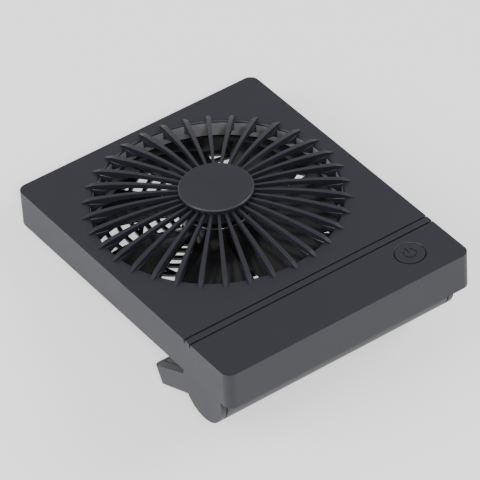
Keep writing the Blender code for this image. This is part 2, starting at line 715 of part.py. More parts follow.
def make_button():
    """Flush round button with a power mark, and the plunger of the switch under it."""
    centre = Matrix.Translation((BUTTON_X, BUTTON_Y, 0))
    cap = add_object("button_cap", place_mesh(turned_mesh(
        [(0, 0), (BUTTON_RADIUS - 0.2 * MM, 0), (BUTTON_RADIUS, -0.2 * MM), (BUTTON_RADIUS, -1.6 * MM),
         (1.6 * MM, -1.6 * MM), (1.6 * MM, -3 * MM), (0, -3 * MM)], ROUND), centre), black_plastic())
    sweep = [math.radians(130 + 280 * step / 12) for step in range(13)]
    outer, inner = MARK_RADIUS + MARK_STROKE, MARK_RADIUS - MARK_STROKE
    arc = [(outer * math.cos(angle), outer * math.sin(angle)) for angle in sweep]
    arc += [(inner * math.cos(angle), inner * math.sin(angle)) for angle in reversed(sweep)]
    cut(cap, place_mesh(outline_mesh(arc, -MARK_DEPTH, MM), centre))
    cut(cap, place_mesh(box_mesh(
        (-MARK_STROKE, 0.6 * MM, -MARK_DEPTH), (MARK_STROKE, 3.6 * MM, MM)), centre))
    plunger = add_object("switch_plunger", cylinder_mesh(
        1.2 * MM, -5.1 * MM, -3.3 * MM, SMALL, (BUTTON_X, BUTTON_Y)), chip_black())
    return [cap, plunger]


def make_control_board():
    """Circuit board behind the lower face, with its switch, chips, screws and charging socket."""
    under = BOARD_TOP - BOARD_THICKNESS
    board = add_object("control_board", box_mesh(
        (-52 * MM, 4 * MM, under), (57.6 * MM, 33 * MM, BOARD_TOP)), board_green())
    cut(board, joined_mesh([
        cylinder_mesh(1.1 * MM, under - MM, BOARD_TOP + MM, SMALL, at) for at in BOARD_SCREWS]))
    screw = turned_mesh([
        (0, -3.4 * MM), (0.4 * MM, -3.4 * MM), (0.4 * MM, under - GAP), (1.7 * MM, under - GAP),
        (1.7 * MM, under - 1.1 * MM), (0, under - 1.1 * MM)], TINY)
    add_copies("board_screw", screw, BOARD_SCREWS, steel())
    switch = add_object("switch_body", box_mesh(
        (BUTTON_X - 3 * MM, BUTTON_Y - 3 * MM, BOARD_TOP + GAP),
        (BUTTON_X + 3 * MM, BUTTON_Y + 3 * MM, BOARD_TOP + 1.9 * MM)), chip_black())
    cut(switch, cylinder_mesh(1.5 * MM, BOARD_TOP + 0.6 * MM, 0, SMALL, (BUTTON_X, BUTTON_Y)))
    for name, x, y, size, height in (
            ("motor_driver_chip", -6 * MM, 14 * MM, 5 * MM, 1.3 * MM),
            ("charger_chip", 10 * MM, 24 * MM, 4 * MM, 1.3 * MM),
            ("boost_inductor", -27 * MM, 23 * MM, 6 * MM, 2.4 * MM)):
        add_object(name, box_mesh(
            (x - size / 2, y - size / 2, BOARD_TOP + GAP), (x + size / 2, y + size / 2, BOARD_TOP + height)),
            chip_black())
    shell = add_object("usb_socket", socket_slab(0, 51.6 * MM, 58.9 * MM), steel())
    cut(shell, socket_slab(SOCKET_WALL, 52.4 * MM, 60 * MM))
    add_object("usb_tongue", box_mesh(
        (52.7 * MM, SOCKET_Y - 3.2 * MM, SOCKET_Z - 0.35 * MM),
        (58.2 * MM, SOCKET_Y + 3.2 * MM, SOCKET_Z + 0.35 * MM)), chip_black())


# Barrel, cell, hinge hardware and stand

def about_hinge(mesh):
    """Lay a mesh made about the Z axis along the barrel's centre line."""
    return place_mesh(along_x(mesh), Matrix.Translation((0, HINGE_Y, HINGE_Z)))


def mirrored(mesh):
    return place_mesh(mesh.copy(), Matrix.Diagonal((-1, 1, 1, 1)))


def make_barrel():
    """Tube that holds the cell, its two end plugs, the cell and the pads round it."""
    barrel = add_object("battery_barrel", about_hinge(ring_mesh(
        BARREL_RADIUS, BARREL_BORE, -BARREL_HALF, BARREL_HALF, 40)), black_plastic())
    cut(barrel, cylinder_mesh(WIRE_HOLE, -18 * MM, -9 * MM, SMALL, (WIRE_HOLE_X, HINGE_Y)))
    add_object("battery_cell", about_hinge(cylinder_mesh(CELL_RADIUS, -CELL_HALF, CELL_HALF, ROUND)),
               cell_wrap())
    for name, x in (("left", -24 * MM), ("right", 24 * MM)):
        pad = add_object("cell_pad_" + name, about_hinge(
            ring_mesh(10.6 * MM, 9.5 * MM, x - 4 * MM, x + 4 * MM, MEDIUM)), foam())
        cut(pad, box_mesh((-30 * MM, HINGE_Y - 1.2 * MM, HINGE_Z), (30 * MM, HINGE_Y + 1.2 * MM, 0)))
    plug = ring_mesh(BARREL_BORE - GAP, HINGE_PIN + 0.1 * MM, 50.6 * MM, BARREL_HALF, ROUND)
    recess = cylinder_mesh(6.4 * MM, 54.3 * MM, 56 * MM, MEDIUM)
    washer = ring_mesh(6.1 * MM, 2.4 * MM, 54.6 * MM, 55.2 * MM, MEDIUM)
    for name, flip in (("right", False), ("left", True)):
        meshes = [about_hinge(mesh.copy()) for mesh in (plug, recess, washer)]
        if flip:
            meshes = [mirrored(mesh) for mesh in meshes]
        cap = add_object("barrel_plug_" + name, meshes[0], dark_plastic())
        cut(cap, meshes[1])
        add_object("friction_washer_" + name, meshes[2], steel())


def stand_section(clear_radius):
    """Side outline of the folded stand about the hinge: (towards the fan's top, away from its back)."""
    inner_root = math.sqrt(clear_radius ** 2 - STAND_INNER ** 2)
    outer_root = math.sqrt(clear_radius ** 2 - STAND_OUTER_ROOT ** 2)
    first = math.atan2(STAND_OUTER_ROOT, outer_root)
    last = math.atan2(-STAND_INNER, inner_root)
    outline = [(STAND_REACH, -STAND_INNER), (STAND_REACH - 0.6 * MM, STAND_OUTER_TIP)]
    for step in range(6):
        angle = first + (last - first) * step / 5
        outline.append((clear_radius * math.cos(angle), clear_radius * math.sin(angle)))
    return outline


def hinge_side(outline, low, high):
    """Solid across the fan with an outline given as (towards the top, away from the back)."""
    points = [(u, -v) for u, v in outline]
    return along_x(outline_mesh(points, low, high))


def make_stand():
    """Thick plate on two end discs that turn about the barrel, hollow behind its inner cover."""
    stand = add_object("stand", hinge_side(
        stand_section(BARREL_RADIUS + 0.5 * MM), -STAND_HALF, STAND_HALF), black_plastic())
    for side in (-1, 1):
        low, high = sorted((side * STAND_HALF, side * (STAND_HALF - DISC_THICKNESS)))
        unite(stand, along_x(cylinder_mesh(BARREL_RADIUS, low, high, 48)))
        unite(stand, hinge_side([
            (14 * MM, -STAND_INNER), (14 * MM, STAND_OUTER_ROOT), (0, STAND_OUTER_ROOT),
            (0, -STAND_INNER)], low, high))
    boolean(stand, outline_mesh(rounded_rectangle(
        (-STAND_HALF, -20 * MM), (STAND_HALF, STAND_REACH), 3.5 * MM), -20 * MM, 20 * MM), "INTERSECT")
    floor = STAND_INNER - 1.7 * MM
    cut(stand, box_mesh((-STAND_SEAT_HALF, 16 * MM, floor), (STAND_SEAT_HALF, 33.4 * MM, 10 * MM)))
    cut(stand, box_mesh(
        (-STAND_POCKET_HALF, 17.6 * MM, 0.2 * MM), (STAND_POCKET_HALF, 31.8 * MM, floor + MM)))
    unite(stand, joined_mesh([
        cylinder_mesh(2.4 * MM, -MM, floor - GAP, SMALL, at) for at in STAND_POSTS]))
    cut(stand, joined_mesh([
        cylinder_mesh(0.8 * MM, 0.8 * MM, 8 * MM, TINY, at) for at in STAND_POSTS]))
    bore = cylinder_mesh(HINGE_PIN + GAP, BARREL_HALF, 57.2 * MM, MEDIUM)
    cut(stand, along_x(bore.copy()), mirrored(along_x(bore)))
    reach = STAND_SEAT_HALF - GAP
    cover = add_object("stand_cover", box_mesh(
        (-reach, 16.3 * MM, floor + GAP), (reach, 33.1 * MM, STAND_INNER)), black_plastic())
    cut(cover, joined_mesh([
        cylinder_mesh(1.2 * MM, 4 * MM, 8 * MM, TINY, at) for at in STAND_POSTS]))
    cut(cover, joined_mesh([
        cylinder_mesh(2.1 * MM, STAND_INNER - 0.8 * MM, 8 * MM, SMALL, at) for at in STAND_POSTS]))
    screw = turned_mesh([
        (0, STAND_INNER - 0.1 * MM), (1.8 * MM, STAND_INNER - 0.1 * MM), (1.8 * MM, STAND_INNER - 0.5 * MM),
        (0.5 * MM, STAND_INNER - 0.5 * MM), (0.5 * MM, 1.2 * MM), (0, 1.2 * MM)], TINY)
    screws = add_copies("stand_screw", screw, STAND_POSTS, steel())
    pin = turned_mesh([
        (0, 56.9 * MM), (HINGE_PIN, 56.9 * MM), (HINGE_PIN, 50.3 * MM), (4 * MM, 50.3 * MM),
        (4 * MM, 49.5 * MM), (0, 49.5 * MM)], ROUND)
    pins = [
        add_object("hinge_pin_right", along_x(pin.copy()), steel()),
        add_object("hinge_pin_left", mirrored(along_x(pin)), steel())]
    return [stand, cover] + screws + pins


# Wires

def smooth_route(points, steps=3):
    """Points along a smooth curve that passes through the route's own points."""
    knots = [Vector(point) for point in points]
    knots = [2 * knots[0] - knots[1]] + knots + [2 * knots[-1] - knots[-2]]
    route = []
    for a, b, c, d in zip(knots, knots[1:], knots[2:], knots[3:]):
        for step in range(steps):
            t = step / steps
            route.append(0.5 * (
                2 * b + (c - a) * t + (2 * a - 5 * b + 4 * c - d) * t ** 2
                + (3 * b - a - 3 * c + d) * t ** 3))
    return route + [knots[-2]]


def wire(name, points, radius, material):
    """Round insulated wire along a route."""
    curve = bpy.data.curves.new(name, "CURVE")
    curve.dimensions = "3D"
    curve.bevel_depth = radius
    curve.bevel_resolution = 2
    curve.use_fill_caps = True
    spline = curve.splines.new("POLY")
    route = smooth_route(points)
    spline.points.add(len(route) - 1)
    for point, place in zip(spline.points, route):
        point.co = (*place, 1)
    curve.materials.append(material)
    made = bpy.data.objects.new(name, curve)
    parts.objects.link(made)
    return made


def make_wires():
    """Motor leads along the grille's bridge, and cell leads up through the barrel's hole."""
    under = BOARD_TOP - BOARD_THICKNESS - GAP
    along = Vector((math.cos(WIRE_ANGLE), math.sin(WIRE_ANGLE), 0))
    across = Vector((-along.y, along.x, 0))
    centre = Vector((0, FAN_CENTRE_Y, 0))
    for name, material, side in (("red", wire_red(), -1), ("black", wire_black(), 1)):
        offset = across * side * 0.75 * MM
        route = [centre + offset + along * radius + Vector((0, 0, height)) for radius, height in (
            (9 * MM, -14.2 * MM), (12 * MM, -14.35 * MM), (17 * MM, -15.75 * MM), (30 * MM, -15.75 * MM),
            (44 * MM, -15.75 * MM), (49.5 * MM, -15.7 * MM), (52 * MM, -14.4 * MM), (55 * MM, -11.6 * MM),
            (58.5 * MM, -9.2 * MM))]
        route.append(Vector((route[-1].x, 31.4 * MM, under)))
        wire("motor_wire_" + name, route, 0.45 * MM, material)
    hole = Vector((WIRE_HOLE_X, HINGE_Y, 0))
    wire("cell_wire_red", [
        (-32.9 * MM, HINGE_Y, HINGE_Z + 3 * MM), (-35 * MM, HINGE_Y, HINGE_Z + 4 * MM),
        (-40 * MM, HINGE_Y + 0.4 * MM, HINGE_Z + 7.5 * MM), hole + Vector((0, 0.9 * MM, -14.4 * MM)),
        hole + Vector((0, 0.9 * MM, -11 * MM)), hole + Vector((0, 0.9 * MM, under))], 0.55 * MM, wire_red())
    wire("cell_wire_black", [
        (32.9 * MM, HINGE_Y, HINGE_Z + 3 * MM), (35 * MM, HINGE_Y, HINGE_Z + 6 * MM),
        (33.4 * MM, HINGE_Y, HINGE_Z + 9.4 * MM), (29 * MM, HINGE_Y, HINGE_Z + 10.08 * MM),
        (0, HINGE_Y, HINGE_Z + 10.08 * MM), (-34 * MM, HINGE_Y, HINGE_Z + 10.08 * MM),
        (-40 * MM, HINGE_Y - 0.2 * MM, HINGE_Z + 10.05 * MM), (-43.2 * MM, HINGE_Y - 0.8 * MM, -13.6 * MM),
        hole + Vector((-0.2 * MM, -0.9 * MM, -11 * MM)),
        hole + Vector((0, -0.9 * MM, under))], 0.55 * MM, wire_black())


# Assembly

def axis_empty(name, location, parent=None):
    """Empty on a joint's axis, which carries what turns or slides there."""
    made = bpy.data.objects.new(name, None)
    made.empty_display_size = 0.01
    made.location = location
    made.parent = parent
    parts.objects.link(made)
    return made


def hang(part, holder, at_axis):
    """Parent a part to an empty, moving its own points where its origin is put on the axis."""
    if not at_axis:
        part.data.transform(Matrix.Translation(-holder.location))
    part.parent = holder


def world_extent(objects):
    """Lowest and highest corners of the objects' meshes as placed in the world."""
    graph = bpy.context.evaluated_depsgraph_get()
    low = Vector((math.inf,) * 3)
    high = Vector((-math.inf,) * 3)
    for part in objects:
        placed = part.evaluated_get(graph)
        mesh = placed.to_mesh()
        for vertex in mesh.vertices:
            point = placed.matrix_world @ vertex.co
            low = Vector(map(min, low, point))
            high = Vector(map(max, high, point))
        placed.to_mesh_clear()
    return low, high


def lying_tilt():
    """Slope of the fan when it rests on its stand's outer end edge and its top back edge."""
    opened = math.radians(STAND_OPEN_AT_REST)
    reach = STAND_REACH - 0.6 * MM
    tip_y = HINGE_Y + reach * math.cos(opened) - STAND_OUTER_TIP * math.sin(opened)
    tip_z = HINGE_Z - reach * math.sin(opened) - STAND_OUTER_TIP * math.cos(opened)
    return math.atan2(-BODY_DEPTH - tip_z, BODY_LENGTH - tip_y)


def build():
    clear_scene()
    make_front_cover()
    make_hub_cap()
    make_rear_cover()
    make_case_screws()
    make_fan_housing()
    make_motor_stator()
    make_control_board()
    make_barrel()
    make_wires()
    impeller = make_impeller()
    button = make_button()
    stand = make_stand()
    solids = [part for part in parts.objects if part.type == "MESH"]
    for part in solids:
        settle(part)
    for tool in list(cutters.objects):
        bpy.data.objects.remove(tool, do_unlink=True)
    fan = axis_empty("fan_axes", (0, 0, 0))
    impeller_axis = axis_empty("impeller_axis", (0, FAN_CENTRE_Y, 0), fan)
    button_axis = axis_empty("button_axis", (BUTTON_X, BUTTON_Y, 0), fan)
    hinge_axis = axis_empty("hinge_axis", (0, HINGE_Y, HINGE_Z), fan)
    hinge_axis.rotation_euler.x = -math.radians(STAND_OPEN_AT_REST)
    for part in impeller:
        hang(part, impeller_axis, False)
    for part in button:
        hang(part, button_axis, False)
    for part in stand:
        hang(part, hinge_axis, True)
    bodies = [part for part in parts.objects if part.type != "EMPTY"]
    for part in bodies:
        if part.parent is None:
            part.parent = fan
    fan.rotation_euler.x = -lying_tilt()
    bpy.context.view_layer.update()
    low, high = world_extent(bodies)
    fan.location = (0, -(low.y + high.y) / 2, -low.z)
    bpy.context.view_layer.update()


build()
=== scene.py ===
import json
import math

import bmesh
import bpy
from mathutils import Matrix, Vector


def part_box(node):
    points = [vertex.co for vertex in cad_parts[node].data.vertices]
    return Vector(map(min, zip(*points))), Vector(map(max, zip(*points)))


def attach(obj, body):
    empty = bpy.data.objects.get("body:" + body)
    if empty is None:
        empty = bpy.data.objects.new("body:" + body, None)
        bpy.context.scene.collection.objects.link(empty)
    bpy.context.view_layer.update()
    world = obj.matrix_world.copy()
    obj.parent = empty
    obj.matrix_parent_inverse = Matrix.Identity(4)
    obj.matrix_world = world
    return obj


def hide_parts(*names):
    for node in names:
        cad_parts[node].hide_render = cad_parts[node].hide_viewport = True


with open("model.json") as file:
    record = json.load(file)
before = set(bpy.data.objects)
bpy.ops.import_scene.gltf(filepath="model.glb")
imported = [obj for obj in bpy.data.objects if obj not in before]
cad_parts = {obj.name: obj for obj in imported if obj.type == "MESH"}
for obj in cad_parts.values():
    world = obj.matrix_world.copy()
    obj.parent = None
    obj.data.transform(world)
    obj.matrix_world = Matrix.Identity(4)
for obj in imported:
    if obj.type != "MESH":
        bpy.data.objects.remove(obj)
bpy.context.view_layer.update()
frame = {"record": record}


# How the fan lies.
# The fan rests on its top back edge and on the end of its part-opened stand, face up, so its own
# axes are tilted. Its own X runs to its right, Y towards its top edge and Z out of its face.
MM = 0.001
BODY_WIDTH = 120 * MM
BODY_DEPTH = 17.2 * MM
joints = {joint["name"]: joint for joint in frame["record"]["behaviour"]["joints"]}
foot = next(mount for mount in frame["record"]["mounts"] if mount["name"] == "bottom_edge")
face_out = Vector(joints["impeller_spin"]["axis"]).normalized()
up_the_face = -Vector(foot["axis"]).normalized()
lower_edge = Vector(foot["pos_m"]) + face_out * BODY_DEPTH / 2
FAN = Matrix.Translation(lower_edge) @ Matrix(
    ((1, up_the_face.x, face_out.x), (0, up_the_face.y, face_out.y), (0, up_the_face.z, face_out.z))
).to_4x4()


def in_fan_axes(place):
    """A world point in the fan's own axes."""
    return FAN.inverted() @ Vector(place)


FAN_CENTRE_Y = in_fan_axes(joints["impeller_spin"]["pos_m"]).y
HINGE = in_fan_axes(joints["stand_fold"]["pos_m"])
BODY_LENGTH = (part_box("front_cover")[1].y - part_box("front_cover")[0].y
               - BODY_DEPTH * face_out.y) / up_the_face.y


# Camera.
# It looks down at the face from the fan's lower left, from far off through a long lens.
VIEW_TURN = math.radians(-33.408)
VIEW_RISE = math.radians(40.134)
VIEW_ROLL = math.radians(-3.661)
VIEW_DISTANCE = 1.5797
VIEW_TARGET = (-7.57 * MM, 64.37 * MM, 0)
LENS = 294.2
camera = bpy.data.objects.new("camera", bpy.data.cameras.new("camera"))
bpy.context.scene.collection.objects.link(camera)
camera.data.lens = LENS
camera.data.clip_end = 20
camera.matrix_world = (
    FAN @ Matrix.Translation(VIEW_TARGET) @ Matrix.Rotation(VIEW_TURN, 4, "Z")
    @ Matrix.Rotation(math.pi / 2 - VIEW_RISE, 4, "X") @ Matrix.Rotation(VIEW_ROLL, 4, "Z")
    @ Matrix.Translation((0, 0, VIEW_DISTANCE)))
bpy.context.scene.camera = camera


# Floor and studio light.
# A lit white floor, as over a light table, a small soft light by the camera that shines down into
# the fan's duct, a broad one at each side, and white walls all round.
FLOOR_HALF_WIDTH = 4
FLOOR_GLOW = 0.85
WALL_GLOW = 0.6
floor = bpy.data.objects.new("floor", bpy.data.meshes.new("floor"))
floor_shape = bmesh.new()
bmesh.ops.create_grid(floor_shape, x_segments=1, y_segments=1, size=FLOOR_HALF_WIDTH)
floor_shape.to_mesh(floor.data)
floor_shape.free()
bpy.context.scene.collection.objects.link(floor)
floor_paint = bpy.data.materials.new("lit_white_floor")
floor_paint.use_nodes = True
floor_shader = floor_paint.node_tree.nodes["Principled BSDF"]
floor_shader.inputs["Base Color"].default_value = (0.6, 0.6, 0.6, 1)
floor_shader.inputs["Roughness"].default_value = 0.8
floor_shader.inputs["Emission Color"].default_value = (1, 1, 1, 1)
floor_shader.inputs["Emission Strength"].default_value = FLOOR_GLOW
floor.data.materials.append(floor_paint)


def soft_light(name, place, size, power):
    """Square soft light that faces the fan."""
    lamp = bpy.data.objects.new(name, bpy.data.lights.new(name, "AREA"))
    bpy.context.scene.collection.objects.link(lamp)
    lamp.data.size = size
    lamp.data.energy = power
    lamp.location = place
    lamp.rotation_euler = Vector(place).to_track_quat("Z", "Y").to_euler()


soft_light("camera_side_light", (-0.75, -1.2, 1.7), 0.5, 22)
soft_light("left_light", (-2.0, 0.4, 1.4), 1.2, 45)
soft_light("right_light", (2.0, -0.6, 1.8), 1.4, 45)
tent = bpy.data.worlds.new("tent")
tent.use_nodes = True
tent.node_tree.nodes["Background"].inputs["Color"].default_value = (1, 1, 1, 1)
tent.node_tree.nodes["Background"].inputs["Strength"].default_value = WALL_GLOW
bpy.context.scene.world = tent


# Front cover.
# One injection moulding in matt black ABS: face, side walls, duct ring, 34 vanes and the hub seat.
# The mould's edges are eased all round, and the face carries a very fine spark texture.
BODY_CORNER = 4 * MM
WALL = 1.8 * MM
FACE = 2 * MM
EDGE_ROUND = 0.45 * MM
RIB_COUNT = 34
RIM_RADIUS = 51.8 * MM
RIM_ROUND = 1.1 * MM
DUCT_RADIUS = 51.2 * MM
DUCT_DEPTH = 7.2 * MM
DUCT_WALL = 1.6 * MM
RIB_INNER_RADIUS = 13.2 * MM
RIB_TIP_RADIUS = 56.6 * MM
RIB_CROWN = 5.18 * MM
RIB_CROWN_RADIUS = 18 * MM
RIB_CURVATURE = 2.942
RIB_ROOT = -0.6 * MM
RIB_EASE = 0.18 * MM
RIB_DEPTH = 2.0 * MM
RIB_GUSSET_START = 32 * MM
RIB_GUSSET_DEPTH = 4.8 * MM
HUB_RADIUS = 15.6 * MM
HUB_TOP = 7.1 * MM
HUB_SEAT_RADIUS = 14.8 * MM
HUB_SEAT_TOP = 5.3 * MM
HUB_SEAT_BOTTOM = -0.8 * MM
HUB_SEAT_WALL = 2.2 * MM
HUB_FLOOR = 0.9 * MM
HUB_RECESS_RADIUS = 12 * MM
HUB_RECESS_FLOOR = 2.6 * MM
GROOVE_Y = (25.3 * MM, 29.1 * MM)
GROOVE_WIDTH = 0.8 * MM
GROOVE_DEPTH = 1.0 * MM
GROOVE_LIP = 0.08 * MM
GROOVE_SIDE_DEPTH = 0.6 * MM
GROOVE_SIDE_DROP = 1.6 * MM
SOCKET_PLACE = in_fan_axes(sum(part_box("usb_socket"), Vector()) / 2)
SOCKET_HALF_WIDTH = 4.45 * MM
SOCKET_HALF_HEIGHT = 1.6 * MM
SOCKET_ROUND = 1.5 * MM
SOCKET_CLEARANCE = 0.4 * MM
BUTTON_PLACE = in_fan_axes(sum(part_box("button_cap"), Vector()) / 2)
BUTTON_HOLE_RADIUS = 6.6 * MM


def clean(mesh, distance=0.000002):
    """Merge touching points and point the faces outwards."""
    shape = bmesh.new()
    shape.from_mesh(mesh)
    bmesh.ops.remove_doubles(shape, verts=shape.verts, dist=distance)
    bmesh.ops.recalc_face_normals(shape, faces=shape.faces)
    shape.to_mesh(mesh)
    shape.free()
    return mesh


def evaluated(holder):
    """Mesh of an object with its modifiers applied. The object itself is removed."""
    graph = bpy.context.evaluated_depsgraph_get()
    mesh = bpy.data.meshes.new_from_object(holder.evaluated_get(graph))
    bpy.data.objects.remove(holder)
    return mesh


def holder_of(data):
    """Scene object for a mesh or a curve."""
    holder = bpy.data.objects.new("holder", data)
    bpy.context.scene.collection.objects.link(holder)
    return holder


def plate(outline, low, high):
    """Flat solid from a filled outline, between two heights."""
    curve = bpy.data.curves.new("outline", "CURVE")
    curve.dimensions = "2D"
    curve.fill_mode = "BOTH"
    curve.extrude = (high - low) / 2
    spline = curve.splines.new("POLY")
    spline.points.add(len(outline) - 1)
    for point, (x, y) in zip(spline.points, outline):
        point.co = (x, y, 0, 1)
    spline.use_cyclic_u = True
    mesh = clean(evaluated(holder_of(curve)))
    mesh.transform(Matrix.Translation((0, 0, (low + high) / 2)))
    return mesh


def turned(profile, steps=128):
    """Solid of revolution about Z from a closed profile of (radius, height) points."""
    mesh = bpy.data.meshes.new("turned")
    edges = [(index, index + 1) for index in range(len(profile) - 1)]
    if profile[0][0] > 0 or profile[-1][0] > 0:
        edges.append((len(profile) - 1, 0))
    mesh.from_pydata([(radius, 0, height) for radius, height in profile], edges, [])
    holder = holder_of(mesh)
    screw = holder.modifiers.new("turn", "SCREW")
    screw.steps = steps
    screw.render_steps = steps
    screw.use_merge_vertices = True
    screw.merge_threshold = 0.000001
    return clean(evaluated(holder), 0.000001)


def block(low, high):
    """Box between two opposite corners."""
    shape = bmesh.new()
    size = Vector(high) - Vector(low)
    middle = (Vector(high) + Vector(low)) / 2
    bmesh.ops.create_cube(shape, size=1, matrix=Matrix.Translation(middle) @ Matrix.Diagonal((*size, 1)))
    mesh = bpy.data.meshes.new("block")
    shape.to_mesh(mesh)
    shape.free()
    return mesh


def peg(radius, low, high, sides=48, centre=(0, 0)):
    """Round bar standing along Z between two heights."""
    shape = bmesh.new()
    bmesh.ops.create_cone(
        shape, cap_ends=True, segments=sides, radius1=radius, radius2=radius, depth=high - low,
        matrix=Matrix.Translation((centre[0], centre[1], (low + high) / 2)))
    mesh = bpy.data.meshes.new("peg")
    shape.to_mesh(mesh)
    shape.free()
    return mesh


def together(meshes):
    """One mesh that holds several separate solids."""
    shape = bmesh.new()
    for mesh in meshes:
        shape.from_mesh(mesh)
    joined = bpy.data.meshes.new("joined")
    shape.to_mesh(joined)
    shape.free()
    return joined


def round_about(mesh, count, start=0.0):
    """Copies of a mesh spread evenly about Z."""
    copies = []
    for index in range(count):
        copy = mesh.copy()
        copy.transform(Matrix.Rotation(start + math.tau * index / count, 4, "Z"))
        copies.append(copy)
    return together(copies)


def combined(mesh, operation, *others):
    """Boolean of a mesh with others, one after the other."""
    for other in others:
        holder = holder_of(mesh)
        tool = holder_of(other)
        modifier = holder.modifiers.new("boolean", "BOOLEAN")
        modifier.operation = operation
        modifier.solver = "MANIFOLD"
        modifier.object = tool
        mesh = evaluated(holder)
        bpy.data.objects.remove(tool)
    return mesh


def eased(mesh, width, segments=2, angle=40):
    """Mesh with its sharp edges rounded."""
    holder = holder_of(mesh)
    bevel = holder.modifiers.new("eased", "BEVEL")
    bevel.width = width
    bevel.segments = segments
    bevel.limit_method = "ANGLE"
    bevel.angle_limit = math.radians(angle)
    bevel.use_clamp_overlap = True
    return evaluated(holder)


def moved(mesh, x=0.0, y=0.0, z=0.0):
    """The same mesh, shifted."""
    mesh.transform(Matrix.Translation((x, y, z)))
    return mesh


def at_fan(mesh):
    """The same mesh, shifted onto the impeller's axis."""
    return moved(mesh, y=FAN_CENTRE_Y)


def across(mesh):
    """Lay a mesh made along Z across the fan, its X and Y becoming the fan's Y and Z."""
    mesh.transform(Matrix(((0, 0, 1, 0), (1, 0, 0, 0), (0, 1, 0, 0), (0, 0, 0, 1))))
    return mesh


def rounded_rectangle(low, high, radius, steps=8):
    """Outline of a rectangle with round corners, anticlockwise."""
    corners = (
        (high[0] - radius, low[1] + radius, -90), (high[0] - radius, high[1] - radius, 0),
        (low[0] + radius, high[1] - radius, 90), (low[0] + radius, low[1] + radius, 180))
    return [
        (x + radius * math.cos(math.radians(start + 90 * step / steps)),
         y + radius * math.sin(math.radians(start + 90 * step / steps)))
        for x, y, start in corners for step in range(steps + 1)]


def body_outline(inset, radius):
    """The body's outline in its face's plane, drawn in by an inset."""
    half = BODY_WIDTH / 2 - inset
    return rounded_rectangle((-half, inset), (half, BODY_LENGTH - inset), radius)


def finished(name, mesh, material, body, *nodes, slot="black_plastic", smooth=30, placed=FAN):
    """Piece from a mesh in the fan's axes: shaded, painted, riding on its body, standing for its nodes."""
    piece = bpy.data.objects.new(name, mesh)
    bpy.context.scene.collection.objects.link(piece)
    mesh.materials.clear()
    mesh.materials.append(material)
    mesh.polygons.foreach_set("material_index", [0] * len(mesh.polygons))
    mesh.transform(placed)
    mesh.shade_smooth()
    mesh.set_sharp_from_angle(angle=math.radians(smooth))
    weighted = piece.modifiers.new("flat_faces_stay_flat", "WEIGHTED_NORMAL")
    weighted.keep_sharp = True
    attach(piece, body)
    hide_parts(*nodes)
    return piece


def moulded_plastic(name, colour, roughness, grain=0.06, grain_size=9000, tint=0.12):
    """Moulded plastic: a fine spark texture and slight cloudiness in colour and gloss."""
    made = bpy.data.materials.new(name)
    made.use_nodes = True
    nodes, links = made.node_tree.nodes, made.node_tree.links
    shader = nodes["Principled BSDF"]
    shader.inputs["IOR"].default_value = 1.5
    where = nodes.new("ShaderNodeTexCoord")
    cloud = nodes.new("ShaderNodeTexNoise")
    cloud.inputs["Scale"].default_value = 60
    cloud.inputs["Detail"].default_value = 3
    links.new(where.outputs["Object"], cloud.inputs["Vector"])
    shade = nodes.new("ShaderNodeMix")
    shade.data_type = "RGBA"
    shade.inputs["A"].default_value = (*[channel * (1 - tint) for channel in colour], 1)
    shade.inputs["B"].default_value = (*[channel * (1 + tint) for channel in colour], 1)
    links.new(cloud.outputs["Fac"], shade.inputs["Factor"])
    links.new(shade.outputs["Result"], shader.inputs["Base Color"])
    gloss = nodes.new("ShaderNodeMapRange")
    gloss.inputs["To Min"].default_value = roughness - 0.04
    gloss.inputs["To Max"].default_value = roughness + 0.04
    links.new(cloud.outputs["Fac"], gloss.inputs["Value"])
    links.new(gloss.outputs["Result"], shader.inputs["Roughness"])
    spark = nodes.new("ShaderNodeTexNoise")
    spark.inputs["Scale"].default_value = grain_size
    spark.inputs["Detail"].default_value = 2
    links.new(where.outputs["Object"], spark.inputs["Vector"])
    bump = nodes.new("ShaderNodeBump")
    bump.inputs["Strength"].default_value = grain
    bump.inputs["Distance"].default_value = 0.00003
    links.new(spark.outputs["Fac"], bump.inputs["Height"])
    links.new(bump.outputs["Normal"], shader.inputs["Normal"])
    return made


matt_black = moulded_plastic("matt_black_abs", (0.0104, 0.0112, 0.0174), 0.48, grain=0.35)
# Duct wall: a light grey that is painted light, standing in for the bright band of lamp light on the wall;
# its lower roughness makes it a little glossier than the face.
painted_light_duct_wall = moulded_plastic("duct_wall_painted_light", (0.21, 0.21, 0.225), 0.32, grain=0.1)


def rib_height(radius):
    """Domed top edge of a vane, rounding down to the face past the rim."""
    dome = RIB_CROWN - RIB_CURVATURE * (radius - RIB_CROWN_RADIUS) ** 2
    if radius <= RIM_RADIUS:
        return dome
    past_rim = (radius - RIM_RADIUS) / (RIB_TIP_RADIUS - RIM_RADIUS)
    return dome * (1 - past_rim ** 1.3) - 0.25 * MM * past_rim


def rib_width(radius):
    """A vane widens from hub to rim, and is drawn in past the rim."""
    width = 1.1 * MM + 1.0 * MM * (radius - HUB_RADIUS) / (RIM_RADIUS - HUB_RADIUS)
    if radius > RIM_RADIUS:
        width *= 1 - 0.55 * (radius - RIM_RADIUS) / (RIB_TIP_RADIUS - RIM_RADIUS)
    return width


def rib_bottom(radius):
    """Underside of a vane: a slim arched bar that deepens into a gusset at the duct wall."""
    gusset = max(0.0, (radius - RIB_GUSSET_START) / (RIM_RADIUS - RIB_GUSSET_START)) ** 3
    return rib_height(radius) - RIB_DEPTH - RIB_GUSSET_DEPTH * gusset


